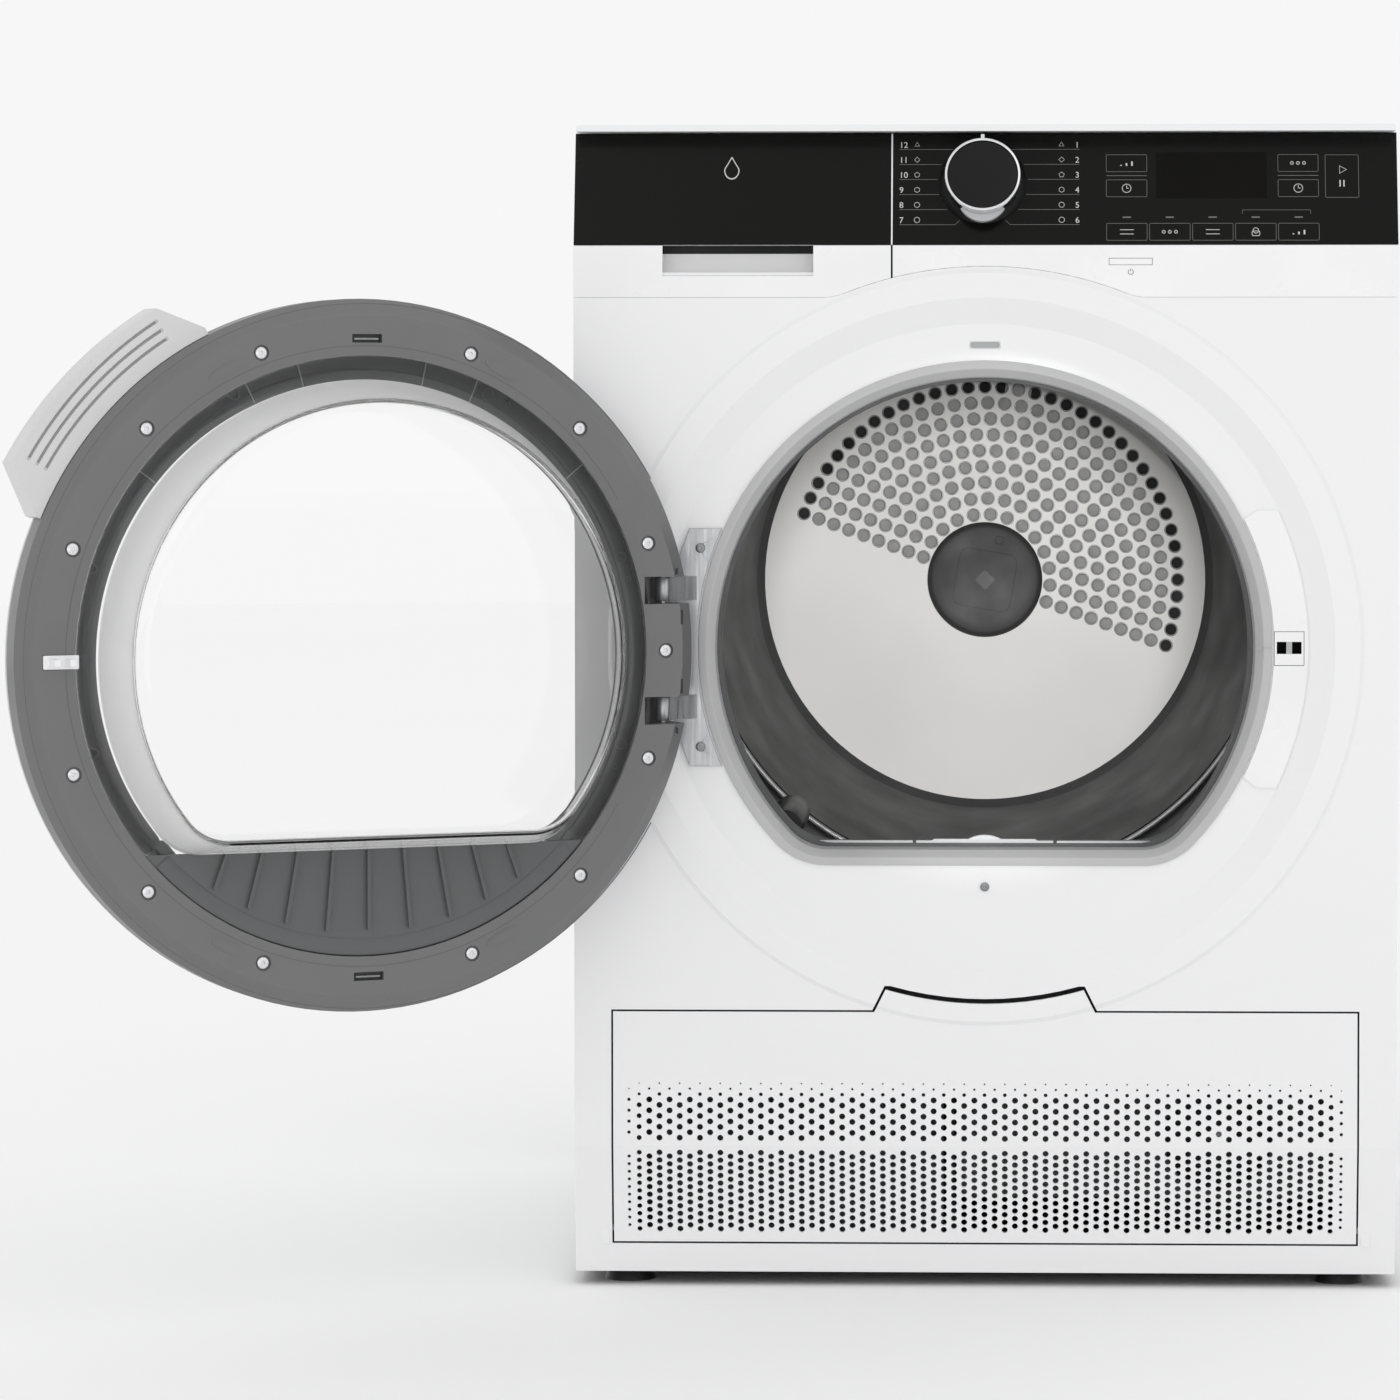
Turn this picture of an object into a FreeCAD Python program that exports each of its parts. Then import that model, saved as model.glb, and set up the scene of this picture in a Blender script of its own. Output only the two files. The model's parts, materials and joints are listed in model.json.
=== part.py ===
"""Compact condenser clothes dryer, door open, as a parametric assembly in millimetres.

Frame: +X to the right, +Y to the back, +Z up, origin on the floor under the middle of the cabinet.
"""
import FreeCAD, Part
import math
import os
import re

import Sketcher

V = FreeCAD.Vector

# ---------------------------------------------------------------------------------------------
# Driving dimensions: alias, value, what it is
# ---------------------------------------------------------------------------------------------
DIMENSIONS = [
    ("cab_wide", 600, "cabinet width"),
    ("cab_deep", 600, "cabinet depth, front sheet to rear sheet"),
    ("cab_high", 850, "floor to worktop surface"),
    ("skirt_z", 10, "lower edge of the cabinet sheets"),
    ("sheet", 1.2, "cabinet sheet thickness"),
    ("wall", 2.5, "usual moulding wall"),
    ("seam", 1.4, "visible gap between neighbouring panels"),
    ("screw_rad", 3.3, "screw head radius"),
    ("shank_rad", 1.9, "screw shank radius"),
    # front sheet, dish and loading opening
    ("load_z", 469, "height of the loading opening's centre"),
    ("dish_floor", 5, "depth of the dish behind the front sheet"),
    ("dish_rad", 236, "radius of the dish's flat floor"),
    ("bevel_rad", 255, "outer radius of the dish's bevel"),
    ("collar_rad", 276, "outer radius of the raised collar"),
    ("collar_rise", 2, "how far the collar stands in front of the front sheet"),
    ("load_rad", 205, "radius of the D-shaped hole in the front sheet"),
    ("load_drop", 156, "flat bottom of that hole below its centre"),
    ("load_corner", 46, "corner radius of the D shape"),
    ("seal_rad", 209.5, "outer radius of the opening seal's flange"),
    ("mouth_rad", 194, "radius of the loading opening inside the seal"),
    ("mouth_drop", 146, "flat bottom of the loading opening below its centre"),
    ("mouth_deep", 32, "depth of the inner edge of the seal"),
    ("crease_z", 104, "height where the lower front starts to lean back"),
    ("skirt_back", 12, "how far the lower edge of the front leans back"),
    # fascia
    ("fascia_z", 724, "lower edge of the fascia"),
    ("fascia_rad", 277.6, "radius of the fascia's arch over the collar"),
    ("arch_fillet", 40, "radius where the arch runs out"),
    ("glass_z", 762.3, "lower edge of the fascia glass"),
    ("fascia_top", 844.6, "upper edge of the fascia glass"),
    ("fascia_lean", 22, "how far the top of the fascia leans back"),
    ("fascia_deep", 36.5, "depth of the fascia and drawer front mouldings"),
    ("glass_thick", 3, "fascia glass thickness"),
    ("tank_edge", -68.4, "seam between the tank drawer and the fascia"),
    ("knob_x", -1.8, "programme knob centre"),
    ("knob_z", 808, "programme knob centre height"),
    ("knob_rad", 28, "radius of the knob's chrome ring"),
    ("skirt_rad", 31.7, "radius of the knob's skirt"),
    ("spindle_rad", 3, "knob spindle radius"),
    ("power_x", 105.8, "power key centre"),
    ("power_z", 750, "power key centre height"),
    ("power_wide", 31, "power key width"),
    ("power_high", 4.4, "power key height"),
    # door
    ("hinge_x", -233.5, "hinge axis left of the middle"),
    ("hinge_out", 24, "hinge axis in front of the front sheet"),
    ("door_open", 154, "opening angle of the stored pose"),
    ("door_rad", 251, "door rim radius"),
    ("frame_bore", 211, "inner radius of the door's inner frame"),
    ("frame_flat", 239, "outer radius of the inner frame's flat face"),
    ("frame_gap", 0.5, "inner frame face in front of the front sheet, closed"),
    ("door_front", 22, "door front face in front of the hinge axis"),
    ("door_split", 6, "joint between frame and bezel in front of the hinge axis"),
    ("door_screw_rad", 226, "radius of the screw circle"),
    ("arm_z", 43.3, "hinge arm above and below the door centre"),
    ("arm_high", 17, "hinge arm height"),
    ("pin_rad", 2.5, "hinge pin radius"),
    ("bowl_rad", 196, "bowl radius at the frame"),
    ("bowl_face_rad", 179, "bowl radius at its inner face"),
    ("bowl_deep", 40, "bowl depth beyond the frame's face"),
    ("bowl_drop", 127, "flat bottom of the bowl below the door centre"),
    ("bowl_wall", 3.5, "bowl glass thickness"),
    ("bowl_flange", 217, "bowl flange radius"),
    ("latch_x", 221.5, "latch centre"),
    ("grip_rad", 285, "outer radius of the door handle"),
    ("grip_low", 24, "direction of the handle's lower end"),
    ("grip_high", 63.7, "direction of the handle's upper end"),
    # drum
    ("drum_z", 502, "drum axis height"),
    ("drum_rad", 285, "inside radius of the drum's front cylinder"),
    ("drum_sheet", 1, "drum sheet thickness"),
    ("drum_front", 72, "drum's front edge behind the front sheet"),
    ("drum_step", 252, "end of the front cylinder"),
    ("drum_back", 550, "perforated back behind the front sheet"),
    ("lip_rad", 262, "radius of the drum's front lip"),
    ("cone_rad", 240, "large radius of the drum's rear cone"),
    ("back_rad", 184, "radius of the perforated back"),
    ("hub_rad", 48, "radius of the cover in the middle of the back"),
    ("air_hole", 5, "radius of an air hole in the back"),
    ("air_ring", 161, "radius of the outermost ring of air holes"),
    ("air_pitch", 13.3, "distance between rings of air holes"),
    ("air_turn", -20, "direction where the perforated half starts"),
    ("shaft_rad", 8, "drum shaft radius"),
    ("fit_gap", 0.05, "radial clearance of a running fit"),
    ("belt_thick", 1.6, "belt thickness"),
    ("belt_wide", 9, "belt width"),
    ("belt_y", -120, "front edge of the belt"),
    # base, motor, fans
    ("motor_x", 172, "motor axis"),
    ("motor_z", 106, "motor axis height"),
    ("motor_rad", 60, "motor housing radius"),
    ("axle_rad", 5, "motor axle radius"),
    ("pulley_rad", 11, "belt pulley radius"),
    ("fan_rad", 74, "fan radius"),
    ("roller_rad", 20, "drum roller radius"),
    ("roller_turn", 35, "drum roller direction from straight down"),
    ("roller_pin", 4, "drum roller pin radius"),
    ("foot_x", 262, "foot centre from the middle, sideways"),
    ("foot_y", 255, "foot centre from the middle, front to back"),
    ("foot_rad", 19, "foot pad radius"),
    ("stud_rad", 4, "foot stud radius"),
    # kick door
    ("kick_half", 273, "half width of the kick door opening"),
    ("kick_low", 31, "lower edge of the kick door opening"),
    ("kick_high", 204, "upper edge of the kick door opening"),
    ("tab_half", 82, "half width of the kick door's tab at its foot"),
    ("tab_rad", 260, "radius of the tab's concave top"),
    ("vent_pitch", 7.43, "sideways distance between vent hole columns"),
    ("vent_rise", 8, "distance between vent hole rows in one column"),
    ("vent_rad", 2.2, "largest vent hole radius"),
    # tank drawer
    ("tank_floor", 792, "underside of the tank over the drum"),
    ("tank_roof", 822, "top of the tank"),
    ("tank_deep", 180, "rear end of the tank"),
    ("drain_rad", 7, "drain spigot radius"),
    ("cable_rad", 5, "cable inlet radius"),
]

doc = FreeCAD.newDocument("ClothesDryer")
sheet = doc.addObject("Spreadsheet::Sheet", "Params")
size = {}
for row, (alias, value, meaning) in enumerate(DIMENSIONS, 1):
    sheet.set(f"A{row}", meaning)
    sheet.set(f"B{row}", str(value))
    sheet.setAlias(f"B{row}", alias)
    size[alias] = float(value)
doc.recompute()

ALIAS = re.compile(r"\b(" + "|".join(size) + r")\b")
subparts = []


def formula(text):
    """Turn 'cab_wide / 2' into an expression on the sheet's cells."""
    return ALIAS.sub(r"Params.\1", str(text))


def number(text):
    """The value of such an expression, in millimetres or degrees."""
    def in_degrees(function):
        return lambda angle: function(math.radians(angle))

    names = {"cos": in_degrees(math.cos), "sin": in_degrees(math.sin), "sqrt": math.sqrt}
    tokens = re.findall(r"[a-z_]+|[0-9.]+|[-+*/^()]", str(text))
    return evaluate(tokens, names)


def evaluate(tokens, names):
    """A small arithmetic reader: sums of products of atoms."""
    def atom():
        token = tokens.pop(0)
        if token == "-":
            return -atom()
        if token == "(":
            inside = total()
            tokens.pop(0)
            return inside
        if token in names:
            tokens.pop(0)
            inside = total()
            tokens.pop(0)
            return names[token](inside)
        if token in size:
            return size[token]
        return float(token)

    def product():
        result = atom()
        while tokens and tokens[0] in "*/^":
            sign = tokens.pop(0)
            right = atom()
            if sign == "*":
                result *= right
            elif sign == "/":
                result /= right
            else:
                result **= right
        return result

    def total():
        result = product()
        while tokens and tokens[0] in "+-":
            if tokens.pop(0) == "+":
                result += product()
            else:
                result -= product()
        return result

    return total()


def bind(obj, **expressions):
    """Bind properties to the sheet; a double underscore stands for a dot."""
    for path, text in expressions.items():
        obj.setExpression(path.replace("__", "."), formula(text))


def place(obj, x, y, z):
    bind(obj, Placement__Base__x=x, Placement__Base__y=y, Placement__Base__z=z)


# ---------------------------------------------------------------------------------------------
# Primitives and booleans
# ---------------------------------------------------------------------------------------------
def box(x0, x1, y0, y1, z0, z1):
    """A block between three pairs of planes."""
    obj = doc.addObject("Part::Box", "block")
    bind(obj, Length=f"({x1}) - ({x0})", Width=f"({y1}) - ({y0})", Height=f"({z1}) - ({z0})")
    place(obj, x0, y0, z0)
    return obj


TURNS = {"x": (V(0, 1, 0), 90), "y": (V(1, 0, 0), -90), "z": (V(0, 0, 1), 0)}


def cylinder(x, y, z, radius, length, axis="y"):
    """A cylinder that starts at a point and runs along +X, +Y or +Z."""
    obj = doc.addObject("Part::Cylinder", "round")
    turn, angle = TURNS[axis]
    obj.Placement = FreeCAD.Placement(V(0, 0, 0), FreeCAD.Rotation(turn, angle))
    bind(obj, Radius=radius, Height=length)
    place(obj, x, y, z)
    return obj


def cone(x, y, z, radius_start, radius_end, length, axis="y"):
    obj = doc.addObject("Part::Cone", "taper")
    turn, angle = TURNS[axis]
    obj.Placement = FreeCAD.Placement(V(0, 0, 0), FreeCAD.Rotation(turn, angle))
    bind(obj, Radius1=radius_start, Radius2=radius_end, Height=length)
    place(obj, x, y, z)
    return obj


def fuse(*shapes):
    obj = doc.addObject("Part::MultiFuse", "union")
    obj.Shapes = list(shapes)
    return obj


def group(*shapes):
    """Separate solids kept together as one sub-part."""
    obj = doc.addObject("Part::Compound", "set")
    obj.Links = list(shapes)
    return obj


def cut(base, *tools):
    obj = doc.addObject("Part::Cut", "difference")
    obj.Base = base
    obj.Tool = tools[0] if len(tools) == 1 else fuse(*tools)
    return obj


def common(*shapes):
    obj = doc.addObject("Part::MultiCommon", "overlap")
    obj.Shapes = list(shapes)
    return obj


def tube(x, y, z, outer, inner, length, axis="y"):
    """A round sleeve, made as a cylinder less a longer cylinder."""
    shift = {"x": (1, 0, 0), "y": (0, 1, 0), "z": (0, 0, 1)}[axis]
    start = [f"({p}) - {s}" for p, s in zip((x, y, z), shift)]
    return cut(cylinder(x, y, z, outer, length, axis),
               cylinder(*start, inner, f"({length}) + 2", axis))


def turned(obj, angle, axis=V(0, 0, 1), x="0", y="0", z="0"):
    """Turn a shape about an axis through the origin, then carry it to a point."""
    wrap = doc.addObject("Part::Compound", "turned")
    wrap.Links = [obj]
    pivot = V(number(x), number(y), number(z))
    wrap.Placement = FreeCAD.Placement(pivot, FreeCAD.Rotation(axis, number(angle)))
    return wrap


# ---------------------------------------------------------------------------------------------
# Sketch-based bodies
# ---------------------------------------------------------------------------------------------
def new_sketch(body, plane, offset=(0, 0, 0)):
    """A sketch on one of the body's own origin planes, shifted in the plane's own axes."""
    sketch = body.newObject("Sketcher::SketchObject", "outline")
    face = [f for f in body.Origin.OriginFeatures if f.Role == plane][0]
    sketch.AttachmentSupport = [(face, "")]
    sketch.MapMode = "FlatFace"
    bind(sketch, AttachmentOffset__Base__x=offset[0], AttachmentOffset__Base__y=offset[1],
         AttachmentOffset__Base__z=offset[2])
    return sketch


def draw_polygon(sketch, points):
    """Straight sides through points whose coordinates are expressions; fully constrained."""
    spots = [V(number(u), number(w), 0) for u, w in points]
    count = len(spots)
    for i in range(count):
        sketch.addGeometry(Part.LineSegment(spots[i], spots[(i + 1) % count]), False)
    for i in range(count):
        sketch.addConstraint(Sketcher.Constraint("Coincident", i, 2, (i + 1) % count, 1))
    for i, (u, w) in enumerate(points):
        for kind, text, value in (("DistanceX", u, spots[i].x), ("DistanceY", w, spots[i].y)):
            index = sketch.addConstraint(Sketcher.Constraint(kind, -1, 1, i, 1, value))
            sketch.setExpression(f"Constraints[{index}]", formula(text))


def draw_d_shape(sketch, radius, drop, corner):
    """A circle about the sketch's origin with a flat bottom and rounded corners."""
    big, low, small = number(radius), number(drop), number(corner)
    reach = math.sqrt((big - small) ** 2 - (low - small) ** 2)
    tilt = math.atan2(-(low - small), reach)
    right, left = V(reach, small - low, 0), V(-reach, small - low, 0)
    normal = V(0, 0, 1)
    sketch.addGeometry([
        Part.ArcOfCircle(Part.Circle(V(0, 0, 0), normal, big), tilt, math.pi - tilt),
        Part.ArcOfCircle(Part.Circle(left, normal, small), math.pi - tilt, 1.5 * math.pi),
        Part.LineSegment(V(-reach, -low, 0), V(reach, -low, 0)),
        Part.ArcOfCircle(Part.Circle(right, normal, small), -0.5 * math.pi, tilt),
    ], False)
    arc, lower_left, base, lower_right = range(4)
    for first, end, second, start in ((arc, 2, lower_left, 1), (lower_left, 2, base, 1),
                                      (base, 2, lower_right, 1), (lower_right, 2, arc, 1)):
        sketch.addConstraint(Sketcher.Constraint("Tangent", first, end, second, start))
    sketch.addConstraint(Sketcher.Constraint("Coincident", arc, 3, -1, 1))
    sketch.addConstraint(Sketcher.Constraint("Horizontal", base))
    for text, constraint in (
            (radius, Sketcher.Constraint("Radius", arc, big)),
            (corner, Sketcher.Constraint("Radius", lower_left, small)),
            (corner, Sketcher.Constraint("Radius", lower_right, small)),
            (f"-({drop})", Sketcher.Constraint("DistanceY", -1, 1, base, 1, -low))):
        index = sketch.addConstraint(constraint)
        sketch.setExpression(f"Constraints[{index}]", formula(text))


def pad(sketch, body, length):
    feature = body.newObject("PartDesign::Pad", "Pad")
    feature.Profile = sketch
    bind(feature, Length=length)
    return body


def prism_x(points, x0, x1):
    """A polygon of (y, z) points, from x0 to x1."""
    body = doc.addObject("PartDesign::Body", "profile")
    sketch = new_sketch(body, "YZ_Plane", (0, 0, x0))
    draw_polygon(sketch, points)
    return pad(sketch, body, f"({x1}) - ({x0})")


def prism_y(points, y0, y1):
    """A polygon of (x, z) points, from y0 to y1."""
    body = doc.addObject("PartDesign::Body", "profile")
    sketch = new_sketch(body, "XZ_Plane", (0, 0, f"-({y1})"))
    draw_polygon(sketch, points)
    return pad(sketch, body, f"({y1}) - ({y0})")


def prism_z(points, z0, z1):
    """A polygon of (x, y) points, from z0 to z1."""
    body = doc.addObject("PartDesign::Body", "profile")
    sketch = new_sketch(body, "XY_Plane", (0, 0, z0))
    draw_polygon(sketch, points)
    return pad(sketch, body, f"({z1}) - ({z0})")


def d_prism(radius, drop, y0, y1, corner="load_corner", middle="load_z"):
    """A D-shaped block from y0 to y1."""
    body = doc.addObject("PartDesign::Body", "dee")
    sketch = new_sketch(body, "XZ_Plane", (0, middle, f"-({y1})"))
    draw_d_shape(sketch, radius, drop, corner)
    return pad(sketch, body, f"({y1}) - ({y0})")


def d_loft(front, back, corner="load_corner", middle="load_z"):
    """A D-shaped block that tapers; each end is (radius, drop, y)."""
    body = doc.addObject("PartDesign::Body", "dee_taper")
    sections = []
    for radius, drop, depth in (front, back):
        sketch = new_sketch(body, "XZ_Plane", (0, middle, f"-({depth})"))
        draw_d_shape(sketch, radius, drop, corner)
        sections.append(sketch)
    feature = body.newObject("PartDesign::AdditiveLoft", "Loft")
    feature.Profile = sections[0]
    feature.Sections = [sections[1]]
    feature.Ruled = True
    return body


def revolve(points, height):
    """A polygon of (y, radius) points turned about the Y-parallel axis at that height."""
    body = doc.addObject("PartDesign::Body", "turning")
    sketch = new_sketch(body, "YZ_Plane", (0, height, 0))
    draw_polygon(sketch, points)
    feature = body.newObject("PartDesign::Revolution", "Revolution")
    feature.Profile = sketch
    feature.ReferenceAxis = (sketch, ["H_Axis"])
    feature.Angle = 360
    return body


def fixed_shape(make):
    """A feature whose shape is worked out from the sheet's numbers by a function."""
    obj = doc.addObject("Part::Feature", "worked_out")
    obj.Shape = make()
    return obj


def keep(obj, label):
    """Name a finished sub-part."""
    obj.Label = label
    subparts.append(obj)
    return obj


def keep_on_door(obj, label):
    """Name a door piece, modelled closed, and swing it to the stored opening angle."""
    obj.Placement = FreeCAD.Placement(V(0, 0, 0), FreeCAD.Rotation(V(0, 0, 1), 0))
    bind(obj, Placement__Rotation__Angle="-door_open",
         Placement__Base__x=f"hinge_x - (hinge_x * cos(door_open) + ({HINGE_Y}) * sin(door_open))",
         Placement__Base__y=f"({HINGE_Y}) - (({HINGE_Y}) * cos(door_open) - hinge_x * sin(door_open))")
    return keep(obj, label)


# The belt tensioner's wheel and the pivot of its arm, as (x, z)
IDLER = ("68", "160")
IDLER_PIVOT = ("120", "178")
# Planes that many sub-parts share, as expressions
FRONT = "-cab_deep / 2"
REAR = "cab_deep / 2"
SIDE = "cab_wide / 2"
FLOOR_Y = f"({FRONT}) + dish_floor"
HINGE_Y = f"({FRONT}) - hinge_out"
FACE_Y = f"({FRONT}) + frame_gap"
DRUM_FRONT = f"({FRONT}) + drum_front"
DRUM_STEP = f"({FRONT}) + drum_step"
DRUM_BACK = f"({FRONT}) + drum_back"
BELT_IN = "drum_rad + drum_sheet + 0.4"
KICK_Y = f"({FRONT}) + 16.5"
KICK_Z = "kick_low + 10.5"


def lean_y(z, back="0"):
    """Depth of the leaning fascia plane at a height, moved back by a distance."""
    return f"({FRONT}) + fascia_lean * (({z}) - glass_z) / (fascia_top - glass_z) + ({back})"


# ---------------------------------------------------------------------------------------------
# Cabinet shell
# ---------------------------------------------------------------------------------------------
def front_profile(back, low, high):
    """Front sheet seen from the side: upright, then leaning back below the crease."""
    lean = f"skirt_back * (crease_z - ({low})) / (crease_z - skirt_z)"
    return [(f"({FRONT}) + ({back})", high), (f"({FRONT}) + ({back})", "crease_z"),
            (f"({FRONT}) + ({back}) + {lean}", low),
            (f"({FRONT}) + ({back}) + {lean} + sheet", low),
            (f"({FRONT}) + ({back}) + sheet", "crease_z"), (f"({FRONT}) + ({back}) + sheet", high)]


def collar_profile(back):
    """Half section of the dish and collar, as (depth, radius)."""
    front = f"({FRONT}) + ({back})"
    return [(f"{front}", "collar_rad"), (f"{front} - collar_rise", "collar_rad - 3"),
            (f"{front} - collar_rise", "bevel_rad"), (f"{front} + dish_floor", "dish_rad"),
            (f"{front} + dish_floor", "load_rad - 70"),
            (f"{front} + dish_floor + sheet", "load_rad - 70"),
            (f"{front} + dish_floor + sheet", "dish_rad"),
            (f"{front} - collar_rise + sheet", "bevel_rad + 0.4"),
            (f"{front} - collar_rise + sheet", "collar_rad - 3"),
            (f"{front} + sheet", "collar_rad")]


def kick_outline(gap):
    """Kick door opening less a gap: a wide rectangle with a tab in the middle of its top."""
    return [(f"-(kick_half - {gap})", f"kick_low + {gap}"), (f"kick_half - {gap}", f"kick_low + {gap}"),
            (f"kick_half - {gap}", f"kick_high - {gap}"), (f"tab_half - {gap}", f"kick_high - {gap}"),
            (f"tab_half - 9 - {gap}", f"kick_high + 18 - {gap}"),
            (f"-(tab_half - 9 - {gap})", f"kick_high + 18 - {gap}"),
            (f"-(tab_half - {gap})", f"kick_high - {gap}"),
            (f"-(kick_half - {gap})", f"kick_high - {gap}")]


def under_fascia(gap):
    """The region below the fascia's lower edge, with its arch, as a filleted block."""
    y0, y1 = f"({FRONT}) - 30", f"({FRONT}) + 60"
    block = box("-cab_wide", "cab_wide", y0, y1, "0", f"fascia_z - {gap}")
    arch = cylinder("0", y0, "load_z", f"fascia_rad - {gap}", "90")
    union = fuse(block, arch)
    doc.recompute()
    corners = [i for i, edge in enumerate(union.Shape.Edges, 1) if is_arch_corner(edge, gap)]
    soft = doc.addObject("Part::Fillet", "arch")
    soft.Base = union
    soft.Edges = [(i, size["arch_fillet"], size["arch_fillet"]) for i in corners]
    return soft


def is_arch_corner(edge, gap):
    """True for the two edges where the arch meets the straight lower edge of the fascia."""
    ends = [v.Point for v in edge.Vertexes]
    if len(ends) != 2 or abs(ends[0].y - ends[1].y) < 1:
        return False
    level = size["fascia_z"] - gap
    return all(abs(p.z - level) < 0.01 and abs(p.x) < size["collar_rad"] for p in ends)


def make_front_panel():
    plate = prism_x(front_profile("0", "skirt_z", "fascia_z + 40"), f"-({SIDE})", SIDE)
    middle = cylinder("0", f"({FRONT}) - 5", "load_z", "collar_rad", "20")
    dish = revolve(collar_profile("0"), "load_z")
    flanges = [box(x0, x1, f"({FRONT}) + sheet", f"({FRONT}) + 13", "crease_z", "fascia_z - 4")
               for x0, x1 in ((f"-({SIDE})", f"-({SIDE}) + sheet"), (f"({SIDE}) - sheet", SIDE))]
    lugs = [cut(box(f"{x} - 3", f"{x} + 3", f"({FRONT}) + 8", f"({KICK_Y}) + 7",
                    "kick_low", "kick_low + 22"),
                cylinder(f"{x} - 4", KICK_Y, KICK_Z, "pin_rad + fit_gap", "8", "x"))
            for x in (-278, 278)]
    solid = common(fuse(cut(plate, middle), dish, *flanges, *lugs), under_fascia(0))
    loading = d_prism("load_rad", "load_drop", f"({FRONT}) - 5", f"({FRONT}) + 20")
    kick = cut(prism_y(kick_outline("0"), f"({FRONT}) - 5", f"({FRONT}) + 40"),
               cylinder("0", f"({FRONT}) - 6", "load_z", "tab_rad - 3.6", "60"))
    screw = cylinder("0", f"({FRONT}) - 5", "load_z - 175", "shank_rad + 0.1", "20")
    latch = box("latch_x - 11", "latch_x + 11", FRONT, f"({FRONT}) + 15", "load_z - 13", "load_z + 12")
    slot = box("-11", "11", FRONT, f"({FRONT}) + 15", "load_z + 218", "load_z + 223")
    plates = [cylinder("hinge_x + 26", FRONT, f"load_z + {s} * 72.6", "shank_rad + 0.1", "15")
              for s in (-1, 1)]
    return keep(cut(solid, loading, kick, screw, latch, slot, *plates), "front_panel")


def make_side_panel(side, label):
    """A side sheet with a folded flange at the back and at the top."""
    outer, inner = f"{side} * ({SIDE})", f"{side} * (({SIDE}) - sheet)"
    fold = f"{side} * (({SIDE}) - 14)"
    near, far = (inner, outer) if side > 0 else (outer, inner)
    fold_near, fold_far = (fold, outer) if side > 0 else (outer, fold)
    front = f"({FRONT}) + 14"
    skin = box(near, far, front, REAR, "skirt_z", "cab_high - 23")
    back = box(fold_near, fold_far, f"({REAR}) - 2 * sheet - 0.2", f"({REAR}) - sheet - 0.2",
               "skirt_z", "cab_high - 23")
    top = box(fold_near, fold_far, "tank_deep + 20", f"({REAR}) - 2 * sheet - 0.2",
              "cab_high - 24.2", "cab_high - 23")
    notch = box(f"{side} * ({SIDE}) - 20", f"{side} * ({SIDE}) + 20", FRONT,
                f"({FRONT}) + fascia_deep + 0.5", "fascia_z - 0.6", "cab_high")
    return keep(cut(fuse(skin, back, top), notch), label)


def make_rear_panel():
    skin = box(f"-({SIDE}) + sheet", f"({SIDE}) - sheet", f"({REAR}) - sheet", REAR,
               "skirt_z", "cab_high - 23")
    rib = tube("0", f"({REAR}) - sheet", "drum_z", "lip_rad - 6", "lip_rad - 10", "3.2")
    vents = [box(f"-250 + 26 * {i}", f"-236 + 26 * {i}", f"({REAR}) - 5", f"({REAR}) + 5",
                 f"60 + 20 * {j}", f"66 + 20 * {j}") for i in range(6) for j in range(5)]
    holes = [cylinder("-235", f"({REAR}) - 5", "800", "13", "10"),
             cylinder("215", f"({REAR}) - 5", "780", "10", "10")]
    return keep(cut(fuse(skin, rib), *vents, *holes), "rear_panel")


def make_worktop():
    lip = box(f"-({SIDE}) + 2", f"({SIDE}) - 2", f"({FRONT}) + 3", REAR, "cab_high - 5", "cab_high")
    board = box(f"-({SIDE}) + 3", f"({SIDE}) - 3", f"({FRONT}) + 52", f"({REAR}) - 1",
                "cab_high - 22.4", "cab_high - 5")
    block = fuse(lip, board)
    doc.recompute()
    rim = [i for i, edge in enumerate(block.Shape.Edges, 1)
           if all(abs(v.Point.z - size["cab_high"]) < 0.01 for v in edge.Vertexes)]
    soft = doc.addObject("Part::Fillet", "rounded")
    soft.Base = block
    soft.Edges = [(i, 2, 2) for i in rim]
    return keep(soft, "worktop")


def make_base_tray():
    floor_z, top = "skirt_z + 3", "skirt_z + 48"
    left, right = f"-({SIDE}) + 3", f"({SIDE}) - 3"
    front, back = f"({FRONT}) + 18", f"({REAR}) - 5"
    shell = cut(box(left, right, front, back, floor_z, top),
                box(f"{left} + 3", f"{right} - 3", f"{front} + 3", f"{back} - 3",
                    f"{floor_z} + 4", f"{top} + 1"),
                box("-kick_half - 14", "kick_half + 14", f"{front} - 1", f"{front} + 4",
                    f"{floor_z} + 12", f"{top} + 1"))
    rails = [box(f"{x}", f"{x} + 3", f"{front} + 12", "150", floor_z, "188") for x in (-249, -25)]
    stop = box("-249", "-22", "147", "150", floor_z, "70")
    bosses = [cylinder(f"{sx} * foot_x", f"{sy} * foot_y", floor_z, "14", "24", "z")
              for sx in (-1, 1) for sy in (-1, 1)]
    bores = [cylinder(f"{sx} * foot_x", f"{sy} * foot_y", "skirt_z", "stud_rad + fit_gap", "40", "z")
             for sx in (-1, 1) for sy in (-1, 1)]
    cradle = [box("motor_x - 52", "motor_x + 52", f"{y}", f"{y} + 4", floor_z, "motor_z")
              for y in (-48, 74)]
    seat = cylinder("motor_x", "-60", "motor_z", "motor_rad - 8", "150")
    sump = cut(box("-20", "40", "190", "250", floor_z, "52"), box("-17", "37", "193", "247", "17", "53"))
    px, pz = IDLER_PIVOT
    post = fuse(box(f"{px} - 10", f"{px} + 10", "belt_y + belt_wide + 8", "belt_y + belt_wide + 14",
                    floor_z, f"{pz} + 10"),
                cylinder(px, "belt_y + belt_wide + 1", pz, "4", "10"))
    solid = fuse(shell, *rails, stop, *bosses, *[cut(c, seat) for c in cradle], sump, post)
    return keep(cut(solid, *bores), "base_tray")


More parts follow.
